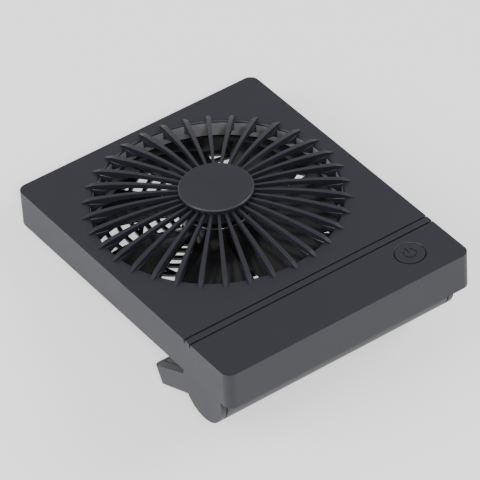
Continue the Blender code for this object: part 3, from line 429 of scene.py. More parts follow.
def vane():
    """One vane on edge along +X, with eased top edges."""
    reach = RIM_RADIUS - RIB_INNER_RADIUS
    over_hole = [RIB_INNER_RADIUS + reach * step / 16 for step in range(17)]
    past_rim = [RIM_RADIUS + (RIB_TIP_RADIUS - RIM_RADIUS) * step / 6 for step in range(1, 7)]
    outline = [(radius, rib_height(radius)) for radius in over_hole + past_rim]
    outline += [(RIB_TIP_RADIUS, RIB_ROOT), (RIM_RADIUS + RIM_ROUND + 0.3 * MM, RIB_ROOT)]
    outline += [(RIM_RADIUS + 0.5 * MM, rib_bottom(RIM_RADIUS))]
    outline += [(radius, rib_bottom(radius)) for radius in over_hole[::-1]]
    mesh = plate(outline[::-1], -0.5, 0.5)
    for vertex in mesh.vertices:
        vertex.co.z *= rib_width(vertex.co.x)
    mesh.transform(Matrix(((1, 0, 0, 0), (0, 0, -1, 0), (0, 1, 0, 0), (0, 0, 0, 1))))
    return eased(mesh, RIB_EASE, 2, 60)


def socket_slab(inset, radius, start, end):
    """Bar along X with the charging socket's rounded outline, drawn in by an inset."""
    reach, rise = SOCKET_HALF_WIDTH - inset, SOCKET_HALF_HEIGHT - inset
    return across(plate(rounded_rectangle(
        (SOCKET_PLACE.y - reach, SOCKET_PLACE.z - rise), (SOCKET_PLACE.y + reach, SOCKET_PLACE.z + rise),
        radius), start, end))


def turned_hole(radius, chamfer):
    """Cutter for the button's hole, which flares a little at the face."""
    return moved(turned([
        (0, MM), (radius + chamfer + MM, MM), (radius, -chamfer), (radius, -FACE - MM),
        (0, -FACE - MM)], 96), BUTTON_PLACE.x, BUTTON_PLACE.y)


def groove(y, half):
    """Cutter for one groove across the face and a little way down both side walls."""
    low, high = y - GROOVE_WIDTH / 2, y + GROOVE_WIDTH / 2
    section = [(low, -GROOVE_DEPTH), (high, -GROOVE_DEPTH), (high, -GROOVE_LIP),
               (high + MM, MM), (low - MM, MM), (low, -GROOVE_LIP)]
    beside = half + MM - GROOVE_SIDE_DEPTH
    notches = [block((side * beside - MM, low, -GROOVE_SIDE_DROP),
                     (side * beside + MM, high, 0.5 * MM)) for side in (-1, 1)]
    return combined(across(plate(section, -half - MM, half + MM)), "UNION", *notches)


def front_cover_mesh():
    """Shell with its duct ring, opening, hub seat and vanes, and the holes for button and socket."""
    half = BODY_WIDTH / 2
    cover = eased(plate(body_outline(0, BODY_CORNER), -BODY_DEPTH, 0), EDGE_ROUND, 3, 60)
    cover = combined(cover, "DIFFERENCE", plate(
        body_outline(WALL, BODY_CORNER - WALL), -BODY_DEPTH - MM, -FACE))
    duct_outer, in_face = DUCT_RADIUS + DUCT_WALL, -FACE + 0.5 * MM
    cover = combined(cover, "UNION", at_fan(turned([
        (duct_outer, in_face), (duct_outer, -DUCT_DEPTH), (DUCT_RADIUS - MM, -DUCT_DEPTH),
        (DUCT_RADIUS - MM, in_face)])))
    rim = [(RIM_RADIUS + RIM_ROUND * (1 - math.cos(math.radians(turn))),
            -RIM_ROUND * (1 - math.sin(math.radians(turn)))) for turn in range(90, -1, -15)]
    cover = combined(cover, "DIFFERENCE", at_fan(turned(
        [(0, MM), (RIM_RADIUS + RIM_ROUND, MM)] + rim
        + [(DUCT_RADIUS, -DUCT_DEPTH - MM), (0, -DUCT_DEPTH - MM)])))
    seat_inner, seat_chamfer = HUB_SEAT_RADIUS - HUB_SEAT_WALL, 0.5 * MM
    seat = turned([
        (0, HUB_RECESS_FLOOR), (HUB_RECESS_RADIUS, HUB_RECESS_FLOOR), (HUB_RECESS_RADIUS, HUB_SEAT_TOP),
        (HUB_SEAT_RADIUS - seat_chamfer, HUB_SEAT_TOP), (HUB_SEAT_RADIUS, HUB_SEAT_TOP - seat_chamfer),
        (HUB_SEAT_RADIUS, HUB_SEAT_BOTTOM), (seat_inner, HUB_SEAT_BOTTOM), (seat_inner, HUB_FLOOR),
        (0, HUB_FLOOR)])
    vanes = round_about(vane(), RIB_COUNT, math.pi / 2)
    cover = combined(cover, "UNION", at_fan(seat), at_fan(vanes))
    cover = combined(cover, "DIFFERENCE", turned_hole(BUTTON_HOLE_RADIUS, 0.2 * MM))
    for y in GROOVE_Y:
        cover = combined(cover, "DIFFERENCE", groove(y, half))
    return combined(cover, "DIFFERENCE", socket_slab(
        -SOCKET_CLEARANCE, SOCKET_ROUND + SOCKET_CLEARANCE, half - WALL - MM, half + MM))


def with_painted_light_on_duct_wall(cover, material):
    """Paint the duct's inner wall light grey: painted light that stands in for the bright band the lamp
    throws on it.
    """
    cover.data.materials.append(material)
    for face in cover.data.polygons:
        place = in_fan_axes(face.center) - Vector((0, FAN_CENTRE_Y, 0))
        outward = Vector((place.x, place.y, 0))
        facing = (FAN.to_3x3().inverted() @ face.normal).dot(outward.normalized())
        on_wall = DUCT_RADIUS - 0.2 * MM < outward.length < RIM_RADIUS and place.z < -RIM_ROUND
        if on_wall and facing < -0.9:
            face.material_index = 1


# The duct's inner wall takes the light grey painted light in place of the matt black.
with_painted_light_on_duct_wall(
    finished("front_cover_moulding", front_cover_mesh(), matt_black, "case", "front_cover"), painted_light_duct_wall)


# Hub cap.
# Plain round cap moulded on its own and pressed into the hub of the vanes, with a narrow turned
# chamfer that catches the light.
CAP_THICKNESS = 1.5 * MM
CAP_CHAMFER = 0.5 * MM
PLUG_OUTER = 11.6 * MM
PLUG_INNER = 10.2 * MM
PLUG_BOTTOM = 3 * MM
cap_under = HUB_TOP - CAP_THICKNESS
hub_cap_shape = turned([
    (0, HUB_TOP), (HUB_RADIUS - CAP_CHAMFER, HUB_TOP), (HUB_RADIUS, HUB_TOP - CAP_CHAMFER),
    (HUB_RADIUS, cap_under), (PLUG_OUTER, cap_under), (PLUG_OUTER, PLUG_BOTTOM),
    (PLUG_INNER, PLUG_BOTTOM), (PLUG_INNER, cap_under), (0, cap_under)], 192)
finished("hub_cap_disc", at_fan(eased(hub_cap_shape, 0.06 * MM)), matt_black, "case", "hub_cap")


# Power button.
# Flush round cap with an engraved power mark, which presses the plunger of a switch on the board.
BUTTON_RADIUS = 6.25 * MM
BUTTON_EDGE = 0.2 * MM
BUTTON_THICKNESS = 1.6 * MM
STEM_RADIUS = 1.6 * MM
STEM_END = -3 * MM
MARK_RADIUS = 2.6 * MM
MARK_STROKE = 0.33 * MM
MARK_DEPTH = 0.25 * MM
MARK_BAR_FOOT = 0.9 * MM
MARK_BAR_TOP = 3.4 * MM


def round_end(centre, radius, heading, steps=8):
    """Half circle of points that closes the end of a stroke, turning left about its heading."""
    return [(centre[0] + radius * math.cos(heading - math.pi / 2 + math.pi * step / steps),
             centre[1] + radius * math.sin(heading - math.pi / 2 + math.pi * step / steps))
            for step in range(1, steps)]


def mark_arc():
    """Open ring of the power mark, with round ends."""
    sweep = [math.radians(130 + 280 * step / 48) for step in range(49)]
    outer, inner = MARK_RADIUS + MARK_STROKE, MARK_RADIUS - MARK_STROKE
    last = (MARK_RADIUS * math.cos(sweep[-1]), MARK_RADIUS * math.sin(sweep[-1]))
    first = (MARK_RADIUS * math.cos(sweep[0]), MARK_RADIUS * math.sin(sweep[0]))
    outline = [(outer * math.cos(angle), outer * math.sin(angle)) for angle in sweep]
    outline += round_end(last, MARK_STROKE, sweep[-1] + math.pi / 2)
    outline += [(inner * math.cos(angle), inner * math.sin(angle)) for angle in reversed(sweep)]
    outline += round_end(first, MARK_STROKE, sweep[0] - math.pi / 2)
    return plate(outline, -MARK_DEPTH, MM)


def mark_bar():
    """Upright stroke of the power mark, with round ends."""
    outline = [(MARK_STROKE, MARK_BAR_FOOT), (MARK_STROKE, MARK_BAR_TOP)]
    outline += round_end((0, MARK_BAR_TOP), MARK_STROKE, math.pi / 2)
    outline += [(-MARK_STROKE, MARK_BAR_TOP), (-MARK_STROKE, MARK_BAR_FOOT)]
    outline += round_end((0, MARK_BAR_FOOT), MARK_STROKE, -math.pi / 2)
    return plate(outline, -MARK_DEPTH, MM)


button_shape = turned([
    (0, 0), (BUTTON_RADIUS - BUTTON_EDGE, 0), (BUTTON_RADIUS - 0.06 * MM, -0.06 * MM),
    (BUTTON_RADIUS, -BUTTON_EDGE), (BUTTON_RADIUS, -BUTTON_THICKNESS), (STEM_RADIUS, -BUTTON_THICKNESS),
    (STEM_RADIUS, STEM_END), (0, STEM_END)], 96)
button_shape = combined(button_shape, "DIFFERENCE", mark_arc(), mark_bar())
finished("power_button_cap", moved(button_shape, BUTTON_PLACE.x, BUTTON_PLACE.y), matt_black,
         "power_button", "button_cap")


# Control board.
# Glass-epoxy board behind the lower face with the button's switch, the motor driver, the charger
# and the boost inductor soldered to it, held by two small zinc-plated screws.
def painted(material, *names):
    """Give CAD pieces whose shape stays their own finish."""
    for name in names:
        piece = bpy.data.objects[name]
        piece.data.materials.clear()
        piece.data.materials.append(material)


def textured(name, texture, settings, low, high, roughness, metallic=0.0, bands=None, relief=0.3,
             relief_depth=0.00005):
    """Material whose colour, gloss and relief follow one procedural texture in the fan's own axes."""
    made = bpy.data.materials.new(name)
    made.use_nodes = True
    nodes, links = made.node_tree.nodes, made.node_tree.links
    shader = nodes["Principled BSDF"]
    shader.inputs["Metallic"].default_value = metallic
    where = nodes.new("ShaderNodeTexCoord")
    laid = nodes.new("ShaderNodeMapping")
    laid.vector_type = "TEXTURE"
    laid.inputs["Location"].default_value = FAN.to_translation()
    laid.inputs["Rotation"].default_value = FAN.to_euler()
    links.new(where.outputs["Object"], laid.inputs["Vector"])
    pattern = nodes.new(texture)
    if bands:
        pattern.bands_direction = bands
    for key, value in settings.items():
        pattern.inputs[key].default_value = value
    links.new(laid.outputs["Vector"], pattern.inputs["Vector"])
    value = pattern.outputs.get("Fac") or pattern.outputs.get("Distance")
    tone = nodes.new("ShaderNodeMix")
    tone.data_type = "RGBA"
    tone.inputs["A"].default_value = (*low, 1)
    tone.inputs["B"].default_value = (*high, 1)
    links.new(value, tone.inputs["Factor"])
    links.new(tone.outputs["Result"], shader.inputs["Base Color"])
    gloss = nodes.new("ShaderNodeMapRange")
    gloss.inputs["To Min"].default_value = roughness - 0.05
    gloss.inputs["To Max"].default_value = roughness + 0.08
    links.new(value, gloss.inputs["Value"])
    links.new(gloss.outputs["Result"], shader.inputs["Roughness"])
    bump = nodes.new("ShaderNodeBump")
    bump.inputs["Strength"].default_value = relief
    bump.inputs["Distance"].default_value = relief_depth
    links.new(value, bump.inputs["Height"])
    links.new(bump.outputs["Normal"], shader.inputs["Normal"])
    return made


solder_mask = textured(
    "green_solder_mask", "ShaderNodeTexVoronoi", {"Scale": 350, "Randomness": 0.3},
    (0.01, 0.09, 0.04), (0.03, 0.22, 0.09), 0.35)
chip_epoxy = moulded_plastic("chip_epoxy", (0.02, 0.02, 0.021), 0.55, grain=0.4)
zinc_plate = textured(
    "zinc_plate", "ShaderNodeTexNoise", {"Scale": 900, "Detail": 3},
    (0.42, 0.42, 0.44), (0.62, 0.62, 0.64), 0.32, 1.0)
painted(solder_mask, "control_board", "motor_board")
painted(chip_epoxy, "switch_body", "switch_plunger", "motor_driver_chip", "charger_chip", "boost_inductor")
painted(zinc_plate, "board_screw_1", "board_screw_2")


# Charging socket.
# Folded stainless shell with a rounded mouth, seen through the opening in the right wall, and a
# black tongue with gold-plated contacts along both sides.
SHELL_WALL = 0.35 * MM
SHELL_INNER_ROUND = 1.2 * MM
SHELL_BACK = 0.8 * MM
TONGUE_HALF_WIDTH = 3.2 * MM
TONGUE_HALF_HEIGHT = 0.35 * MM
CONTACT_COUNT = 9
CONTACT_PITCH = 0.65 * MM
CONTACT_HALF_WIDTH = 0.13 * MM
CONTACT_HALF_THICKNESS = 0.03 * MM
socket_back, socket_mouth = [in_fan_axes(corner).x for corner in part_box("usb_socket")]
shell = combined(
    eased(socket_slab(0, SOCKET_ROUND, socket_back, socket_mouth), 0.1 * MM), "DIFFERENCE",
    socket_slab(SHELL_WALL, SHELL_INNER_ROUND, socket_back + SHELL_BACK, socket_mouth + MM))
finished("charging_socket_shell", shell, zinc_plate, "case", "usb_socket", slot="steel")
tongue_root, tongue_end = socket_back + 1.1 * MM, socket_mouth - 0.7 * MM
tongue = eased(block(
    (tongue_root, SOCKET_PLACE.y - TONGUE_HALF_WIDTH, SOCKET_PLACE.z - TONGUE_HALF_HEIGHT),
    (tongue_end, SOCKET_PLACE.y + TONGUE_HALF_WIDTH, SOCKET_PLACE.z + TONGUE_HALF_HEIGHT)), 0.12 * MM)
finished("charging_socket_tongue", tongue, chip_epoxy, "case", "usb_tongue", slot="chip_black")
gold_plate = textured(
    "gold_plate", "ShaderNodeTexNoise", {"Scale": 1500, "Detail": 2},
    (0.72, 0.5, 0.2), (0.86, 0.64, 0.3), 0.25, 1.0)
contact_row = [
    SOCKET_PLACE.y + (index - (CONTACT_COUNT - 1) / 2) * CONTACT_PITCH for index in range(CONTACT_COUNT)]
contact_rise = TONGUE_HALF_HEIGHT + 0.01 * MM
contact_pads = together([
    block((tongue_end - 3.6 * MM, y - CONTACT_HALF_WIDTH, z - CONTACT_HALF_THICKNESS),
          (tongue_end - 0.5 * MM, y + CONTACT_HALF_WIDTH, z + CONTACT_HALF_THICKNESS))
    for y in contact_row for z in (SOCKET_PLACE.z - contact_rise, SOCKET_PLACE.z + contact_rise)])
finished("charging_contacts", contact_pads, gold_plate, "case", slot="brass")


# Fan housing.
# Glass-filled nylon moulding behind the duct: a collar round the blades, and the back grille of
# swirled bars that carries the motor on its central boss. A bridge along one bar covers the leads.
HOUSING_RADIUS = 50.2 * MM
HOUSING_WALL = 1.4 * MM
HOUSING_TOP = -7.6 * MM
HOUSING_BACK = -17 * MM
GRILLE_TOP = -15.5 * MM
BAR_COUNT = 20
BAR_WIDTH = 1.8 * MM
BAR_SWEEP = math.radians(-100)
BAR_START = 14 * MM
RING_RADIUS = 32 * MM
RING_HALF = 0.9 * MM
FLANGE_WIDTH = 1.4 * MM
FLANGE_TOP = -13.9 * MM
FLANGE_BOTTOM = -15.1 * MM
LEDGE = 1.2 * MM
BOSS_RADIUS = 15.5 * MM
BOSS_TOP = -15.1 * MM
BOSS_BORE = 3.6 * MM
BRIDGE_HALF = 2.1 * MM
CHANNEL_HALF = 1.4 * MM
WIRE_ANGLE = math.radians(255)
housing_black = moulded_plastic("housing_black_nylon", (0.007, 0.007, 0.008), 0.38, grain=0.15)


def swirled_bar():
    """Bar of the back grille, curving round as it runs outwards."""
    end = HOUSING_RADIUS - 0.6 * MM
    left, right = [], []
    for step in range(25):
        radius = BAR_START + (end - BAR_START) * step / 24
        angle = BAR_SWEEP * step / 24
        heading = angle + math.atan2(radius * BAR_SWEEP, end - BAR_START)
        for side, edge in ((0.5, left), (-0.5, right)):
            edge.append((radius * math.cos(angle) - side * BAR_WIDTH * math.sin(heading),
                         radius * math.sin(angle) + side * BAR_WIDTH * math.cos(heading)))
    return eased(plate(left[::-1] + right, HOUSING_BACK, GRILLE_TOP), 0.25 * MM)


def housing_mesh():
    """Collar, swirled bars, ring, boss and bridge in one, with the channel for the leads cut in."""
    outer, flange = HOUSING_RADIUS + HOUSING_WALL, HOUSING_RADIUS + HOUSING_WALL + FLANGE_WIDTH
    housing = eased(turned([
        (outer, HOUSING_TOP), (outer, FLANGE_TOP), (flange, FLANGE_TOP), (flange, FLANGE_BOTTOM),
        (outer, FLANGE_BOTTOM), (outer, HOUSING_BACK), (HOUSING_RADIUS - LEDGE, HOUSING_BACK),
        (HOUSING_RADIUS - LEDGE, GRILLE_TOP), (HOUSING_RADIUS, GRILLE_TOP),
        (HOUSING_RADIUS, HOUSING_TOP)]), 0.2 * MM)
    ring_outer, ring_inner = RING_RADIUS + RING_HALF, RING_RADIUS - RING_HALF
    ring_top, ring_bottom = GRILLE_TOP - 0.1 * MM, HOUSING_BACK + 0.1 * MM
    ring = eased(turned([
        (ring_outer, ring_top), (ring_outer, ring_bottom), (ring_inner, ring_bottom),
        (ring_inner, ring_top)]), 0.2 * MM)
    boss = eased(peg(BOSS_RADIUS, HOUSING_BACK - 0.1 * MM, BOSS_TOP, 128), 0.3 * MM)
    bridge = eased(block(
        (BAR_START, -BRIDGE_HALF, HOUSING_BACK), (HOUSING_RADIUS, BRIDGE_HALF, GRILLE_TOP + 0.1 * MM)),
        0.2 * MM)
    channel = block(
        (8 * MM, -CHANNEL_HALF, HOUSING_BACK + 0.5 * MM), (60 * MM, CHANNEL_HALF, -13.2 * MM))
    for mesh in (bridge, channel):
        mesh.transform(Matrix.Rotation(WIRE_ANGLE, 4, "Z"))
    for bar in range(BAR_COUNT):
        turned_bar = swirled_bar()
        turned_bar.transform(Matrix.Rotation(math.tau * bar / BAR_COUNT, 4, "Z"))
        housing = combined(housing, "UNION", turned_bar)
    housing = combined(housing, "UNION", ring, boss, bridge)
    return combined(housing, "DIFFERENCE", channel, peg(BOSS_BORE, -20 * MM, -10 * MM, 64))


finished("fan_housing_moulding", at_fan(housing_mesh()), housing_black, "case", "fan_housing",
         slot="dark_plastic")


# Motor.
# Outrunner motor of the sort used in computer fans: a brass bearing tube pressed into the boss, a
# laminated core with four enamelled coils, and a ring-shaped board for the leads.
brass_turned = textured(
    "turned_brass", "ShaderNodeTexWave", {"Scale": 1500, "Distortion": 0.4},
    (0.55, 0.4, 0.16), (0.68, 0.52, 0.24), 0.3, 1.0, "Z")
laminations = textured(
    "steel_laminations", "ShaderNodeTexWave", {"Scale": 600, "Distortion": 0.0},
    (0.2, 0.2, 0.21), (0.42, 0.42, 0.44), 0.42, 1.0, "Z", 0.8)
windings = textured(
    "enamelled_windings", "ShaderNodeTexWave", {"Scale": 700, "Distortion": 0.6},
    (0.32, 0.1, 0.03), (0.72, 0.31, 0.12), 0.3, 1.0, "DIAGONAL", 1.0, 0.0001)
painted(brass_turned, "bearing_tube", "sleeve_bearing")
painted(laminations, "stator_core")
painted(windings, "stator_coil_1", "stator_coil_2", "stator_coil_3", "stator_coil_4")


# Impeller.
# Seven pitched and swept blades on a round cup, injection moulded in glossy black, with the steel
# yoke, its ferrite magnet and the shaft pressed into the cup.
BLADE_COUNT = 7
BLADE_PHASE = math.radians(16)
BLADE_ROOT_SPREAD = math.radians(48)
BLADE_TIP_SPREAD = math.radians(40)
BLADE_SWEEP = math.radians(14)
BLADE_CAMBER = 0.7 * MM
BLADE_ROOT_RADIUS = 13.8 * MM
BLADE_TIP_RADIUS = 49 * MM
BLADE_TOP = -8.2 * MM
BLADE_BOTTOM = -14.2 * MM
BLADE_THICKNESS = 1.0 * MM
CUP_RADIUS = 14.5 * MM
CUP_WALL = 1.1 * MM
CUP_TOP = -3.4 * MM
CUP_BOTTOM = -13 * MM
CUP_CEILING = CUP_TOP - 1.2 * MM
glossy_black = moulded_plastic("glossy_black_pbt", (0.006, 0.006, 0.007), 0.2, grain=0.02)


def blade():
    """One blade: a cambered sheet that is pitched down along its chord and swept round as it runs out."""
    shape = bmesh.new()
    bmesh.ops.create_grid(shape, x_segments=14, y_segments=18, size=0.5)
    for vertex in shape.verts:
        chord = vertex.co.x + 0.5
        span = vertex.co.y + 0.5
        radius = BLADE_ROOT_RADIUS + (BLADE_TIP_RADIUS - BLADE_ROOT_RADIUS) * span
        spread = BLADE_ROOT_SPREAD + (BLADE_TIP_SPREAD - BLADE_ROOT_SPREAD) * span
        angle = BLADE_PHASE + BLADE_SWEEP * span + spread * (0.5 - chord)
        height = BLADE_TOP + (BLADE_BOTTOM - BLADE_TOP) * chord + BLADE_CAMBER * math.sin(math.pi * chord)
        vertex.co = (radius * math.cos(angle), radius * math.sin(angle), height)
    mesh = bpy.data.meshes.new("blade")
    shape.to_mesh(mesh)
    shape.free()
    holder = holder_of(mesh)
    skin = holder.modifiers.new("thickness", "SOLIDIFY")
    skin.thickness = BLADE_THICKNESS
    skin.offset = 0
    return eased(evaluated(holder), 0.3 * MM, 3, 60)


def impeller_mesh():
    """Cup with a rounded top edge, its blades, and its inside cut clear of their roots."""
    cup_inner = CUP_RADIUS - CUP_WALL
    wheel = turned([
        (0, CUP_TOP), (CUP_RADIUS - MM, CUP_TOP), (CUP_RADIUS - 0.5 * MM, CUP_TOP - 0.14 * MM),
        (CUP_RADIUS - 0.14 * MM, CUP_TOP - 0.5 * MM), (CUP_RADIUS, CUP_TOP - MM), (CUP_RADIUS, CUP_BOTTOM),
        (cup_inner, CUP_BOTTOM), (cup_inner, CUP_CEILING), (0, CUP_CEILING)])
    wheel = combined(wheel, "UNION", round_about(blade(), BLADE_COUNT))
    return combined(wheel, "DIFFERENCE", peg(cup_inner, -20 * MM, CUP_CEILING, 128))


finished("impeller_wheel", at_fan(impeller_mesh()), glossy_black, "impeller", "impeller",
         slot="dark_plastic", smooth=40)
ferrite = textured(
    "ferrite", "ShaderNodeTexNoise", {"Scale": 1200, "Detail": 4},
    (0.05, 0.05, 0.055), (0.12, 0.12, 0.13), 0.7)
painted(zinc_plate, "rotor_yoke", "rotor_shaft", "shaft_clip")
painted(ferrite, "magnet_ring")


# Motor leads.
# Two thin PVC-covered wires from the motor's board, along the bridge of the back grille and up to
# the control board.
red_pvc = moulded_plastic("red_pvc", (0.55, 0.015, 0.012), 0.35, grain=0.05)
black_pvc = moulded_plastic("black_pvc", (0.02, 0.02, 0.02), 0.35, grain=0.05)
painted(red_pvc, "motor_wire_red")
painted(black_pvc, "motor_wire_black")


# Rear cover.
# Flat back panel set inside the side walls, with the trough that seats the barrel, held by four
# sunk pan-head screws with cross recesses.
WALL_GAP = 0.3 * MM
BARREL_RADIUS = 13 * MM
TROUGH_OUTER = 14.8 * MM
PANEL_THICKNESS = 1.8 * MM
WIRE_HOLE_RADIUS = 2.2 * MM
WIRE_HOLE_X = -44 * MM
HEAD_RECESS_RADIUS = 2.3 * MM
HEAD_RECESS_FLOOR = -16.1 * MM
SHANK_HOLE_RADIUS = 1.4 * MM
CASE_SCREW_TOP = -17.1 * MM
CASE_SCREWS = [(side * 52.5 * MM, y) for side in (-1, 1) for y in (39 * MM, 142 * MM)]


def rear_cover_mesh():
    """Panel with the barrel's trough, cut for the fan housing, the screws and the cell's wires."""
    inset = WALL + WALL_GAP
    reach = BODY_WIDTH / 2 - inset
    panel = eased(plate(
        body_outline(inset, 2 * MM), -BODY_DEPTH, -BODY_DEPTH + PANEL_THICKNESS), 0.2 * MM)
    trough = across(plate([
        (HINGE.y + TROUGH_OUTER * math.cos(math.pi * step / 84),
         HINGE.z + TROUGH_OUTER * math.sin(math.pi * step / 84)) for step in range(12, 73, 2)],
        -reach, reach))
    seat = across(peg(BARREL_RADIUS + WALL_GAP, -reach - MM, reach + MM, 144, (HINGE.y, HINGE.z)))
    below = block((-reach - MM, 0, -40 * MM), (reach + MM, 60 * MM, -BODY_DEPTH))
    fan_hole = at_fan(peg(HOUSING_RADIUS + HOUSING_WALL + WALL_GAP, -20 * MM, -10 * MM, 128))
    recesses = together([peg(HEAD_RECESS_RADIUS, -18 * MM, HEAD_RECESS_FLOOR, 48, at) for at in CASE_SCREWS])
    shanks = together([peg(SHANK_HOLE_RADIUS, -17 * MM, -14 * MM, 32, at) for at in CASE_SCREWS])
    wire_hole = peg(WIRE_HOLE_RADIUS, -20 * MM, -8 * MM, 32, (WIRE_HOLE_X, HINGE.y))
    cover = combined(panel, "UNION", trough)
    return combined(cover, "DIFFERENCE", seat, below, fan_hole, recesses, shanks, wire_hole)


def cross_screw(head_radius, head_height, shank_radius, shank_length):
    """Pan-head screw pointing down, its head's top at zero, with a cross recess."""
    screw = turned([
        (0, 0), (head_radius * 0.7, 0), (head_radius * 0.93, -head_height * 0.35),
        (head_radius, -head_height * 0.7), (head_radius, -head_height), (shank_radius, -head_height),
        (shank_radius, -shank_length), (0, -shank_length)], 48)
    slot = head_radius * 0.14
    arm = head_radius * 0.55
    deep = head_height * 0.75
    return combined(screw, "DIFFERENCE", block((-arm, -slot, -deep), (arm, slot, MM)),
                    block((-slot, -arm, -deep * 0.99), (slot, arm, MM)))


black_zinc = textured(
    "black_zinc", "ShaderNodeTexNoise", {"Scale": 900, "Detail": 3},
    (0.06, 0.06, 0.065), (0.14, 0.14, 0.15), 0.35, 1.0)
finished("rear_cover_panel", rear_cover_mesh(), matt_black, "case", "rear_cover")
for number, (x, y) in enumerate(CASE_SCREWS, start=1):
    screw = cross_screw(head_radius=1.9 * MM, head_height=0.7 * MM, shank_radius=0.55 * MM,
                        shank_length=7.1 * MM)
    screw.transform(Matrix.Rotation(math.pi, 4, "X"))
    screw.transform(Matrix.Rotation(math.radians(23 * number), 4, "Z"))
    finished(f"rear_cover_screw_{number}", moved(screw, x, y, CASE_SCREW_TOP), black_zinc, "case",
             f"case_screw_{number}", slot="steel")


# Battery barrel.
# Black tube in the trough, with a cylindrical lithium cell held by two foam pads, closed by two
# pressed-in plugs. Steel washers on the plugs give the stand its drag.
BARREL_BORE = 11 * MM
BARREL_HALF = 55 * MM


def about_hinge(mesh):
    """Lay a mesh made about Z along the barrel's centre line."""
    return moved(across(mesh), y=HINGE.y, z=HINGE.z)


barrel = about_hinge(eased(turned([
    (BARREL_RADIUS, BARREL_HALF), (BARREL_RADIUS, -BARREL_HALF), (BARREL_BORE, -BARREL_HALF),
    (BARREL_BORE, BARREL_HALF)], 160), 0.3 * MM))
barrel = combined(barrel, "DIFFERENCE", peg(
    WIRE_HOLE_RADIUS, -18 * MM, -9 * MM, 32, (WIRE_HOLE_X, HINGE.y)))
finished("battery_barrel_tube", barrel, matt_black, "case", "battery_barrel")
cell_sleeve = textured(
    "cell_sleeve", "ShaderNodeTexNoise", {"Scale": 120, "Detail": 2},
    (0.03, 0.14, 0.38), (0.05, 0.2, 0.5), 0.3)
pad_foam = textured(
    "pad_foam", "ShaderNodeTexVoronoi", {"Scale": 2500}, (0.03, 0.03, 0.03), (0.12, 0.12, 0.12), 0.85,
    relief=1.0, relief_depth=0.0002)
painted(cell_sleeve, "battery_cell")
painted(pad_foam, "cell_pad_left", "cell_pad_right")
painted(housing_black, "barrel_plug_left", "barrel_plug_right")
painted(zinc_plate, "friction_washer_left", "friction_washer_right")
painted(red_pvc, "cell_wire_red")
painted(black_pvc, "cell_wire_black")


# Stand.
# Thick plate on two end discs that turn with it about the barrel, moulded in the body's matt
# black. Its hollow is closed by an inner cover with four screws, and steel pins make the hinge.
STAND_HALF = 57.9 * MM
DISC_THICKNESS = 2.4 * MM
STAND_REACH = 35.7 * MM
STAND_INNER = 7.1 * MM
STAND_OUTER_TIP = 0.9 * MM
STAND_OUTER_ROOT = 2.1 * MM
STAND_CLEAR = BARREL_RADIUS + 0.5 * MM
SEAT_HALF = 54 * MM
POCKET_HALF = 52.4 * MM
POCKET_LOW = 17.6 * MM
POCKET_HIGH = 31.8 * MM
POCKET_FLOOR = 0.2 * MM
COVER_FLOOR = STAND_INNER - 1.7 * MM
COVER_LOW = 16 * MM
COVER_HIGH = 33.4 * MM
COVER_HOLE_RADIUS = 1.2 * MM
COVER_SINK_RADIUS = 2.1 * MM
POST_RADIUS = 2.4 * MM
PILOT_RADIUS = 0.8 * MM
NECK_REACH = 14 * MM
PIN_BORE = 2.3 * MM
PIN_BORE_ENDS = (54.9 * MM, 57.2 * MM)
STAND_SCREWS = [(side * x, 24.7 * MM) for side in (-1, 1) for x in (16 * MM, 46 * MM)]
opened = math.radians(joints["stand_fold"]["range_deg"][0])
STAND = FAN @ Matrix.Translation((0, HINGE.y, HINGE.z)) @ Matrix.Rotation(opened, 4, "X")


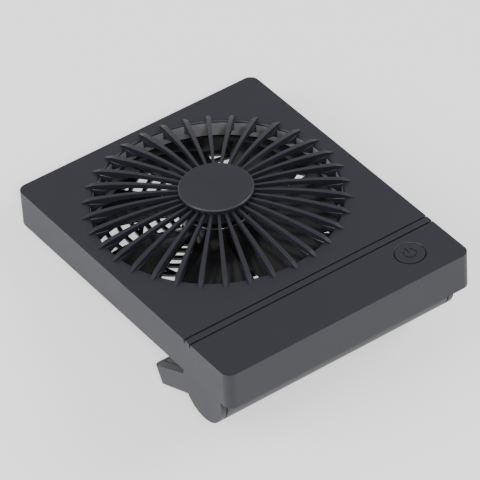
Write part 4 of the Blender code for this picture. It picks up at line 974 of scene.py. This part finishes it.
def stand_mesh():
    """Stand in its folded place about the hinge, Y towards the fan's top edge."""
    first = math.asin(-STAND_OUTER_ROOT / STAND_CLEAR)
    last = math.asin(STAND_INNER / STAND_CLEAR)
    outline = [(STAND_REACH, STAND_INNER), (STAND_REACH - 0.6 * MM, -STAND_OUTER_TIP)]
    outline += [(STAND_CLEAR * math.cos(first + (last - first) * step / 20),
                 STAND_CLEAR * math.sin(first + (last - first) * step / 20)) for step in range(21)]
    stand = across(plate(outline, -STAND_HALF, STAND_HALF))
    neck = [(NECK_REACH, STAND_INNER), (NECK_REACH, -STAND_OUTER_ROOT), (0, -STAND_OUTER_ROOT),
            (0, STAND_INNER)]
    for side in (-1, 1):
        low, high = sorted((side * STAND_HALF, side * (STAND_HALF - DISC_THICKNESS)))
        stand = combined(stand, "UNION", across(plate(neck, low, high)),
                         across(peg(BARREL_RADIUS, low, high, 144)))
    stand = combined(stand, "INTERSECT", plate(rounded_rectangle(
        (-STAND_HALF, -20 * MM), (STAND_HALF, STAND_REACH), 3.5 * MM, 12), -20 * MM, 20 * MM))
    stand = eased(clean(stand), 0.3 * MM, 2, 35)
    stand = combined(
        stand, "DIFFERENCE",
        block((-SEAT_HALF, COVER_LOW, COVER_FLOOR), (SEAT_HALF, COVER_HIGH, 10 * MM)),
        block((-POCKET_HALF, POCKET_LOW, POCKET_FLOOR), (POCKET_HALF, POCKET_HIGH, COVER_FLOOR + MM)))
    posts = together([peg(POST_RADIUS, -MM, COVER_FLOOR - WALL_GAP, 32, at) for at in STAND_SCREWS])
    pilots = together([peg(PILOT_RADIUS, 0.8 * MM, 8 * MM, 16, at) for at in STAND_SCREWS])
    bores = [across(peg(PIN_BORE, *sorted(side * end for end in PIN_BORE_ENDS), 48)) for side in (-1, 1)]
    return combined(combined(stand, "UNION", posts), "DIFFERENCE", pilots, *bores)


def stand_cover_mesh():
    """Flat cover that closes the stand's hollow, with sunk holes for its screws."""
    reach = SEAT_HALF - WALL_GAP
    cover = eased(block(
        (-reach, COVER_LOW + WALL_GAP, COVER_FLOOR + WALL_GAP),
        (reach, COVER_HIGH - WALL_GAP, STAND_INNER)), 0.2 * MM)
    holes = together([peg(COVER_HOLE_RADIUS, 4 * MM, 8 * MM, 32, at) for at in STAND_SCREWS])
    sinks = together([
        peg(COVER_SINK_RADIUS, STAND_INNER - 0.8 * MM, 8 * MM, 48, at) for at in STAND_SCREWS])
    return combined(cover, "DIFFERENCE", holes, sinks)


finished("stand_moulding", stand_mesh(), matt_black, "stand", "stand", placed=STAND)
finished("stand_inner_cover", stand_cover_mesh(), matt_black, "stand", "stand_cover", placed=STAND)
for number, (x, y) in enumerate(STAND_SCREWS, start=1):
    screw = cross_screw(head_radius=1.8 * MM, head_height=0.4 * MM, shank_radius=0.5 * MM,
                        shank_length=5.8 * MM)
    screw.transform(Matrix.Rotation(math.radians(17 * number), 4, "Z"))
    finished(f"stand_cover_screw_{number}", moved(screw, x, y, STAND_INNER - 0.1 * MM), black_zinc, "stand",
             f"stand_screw_{number}", slot="steel", placed=STAND)
painted(zinc_plate, "hinge_pin_left", "hinge_pin_right")
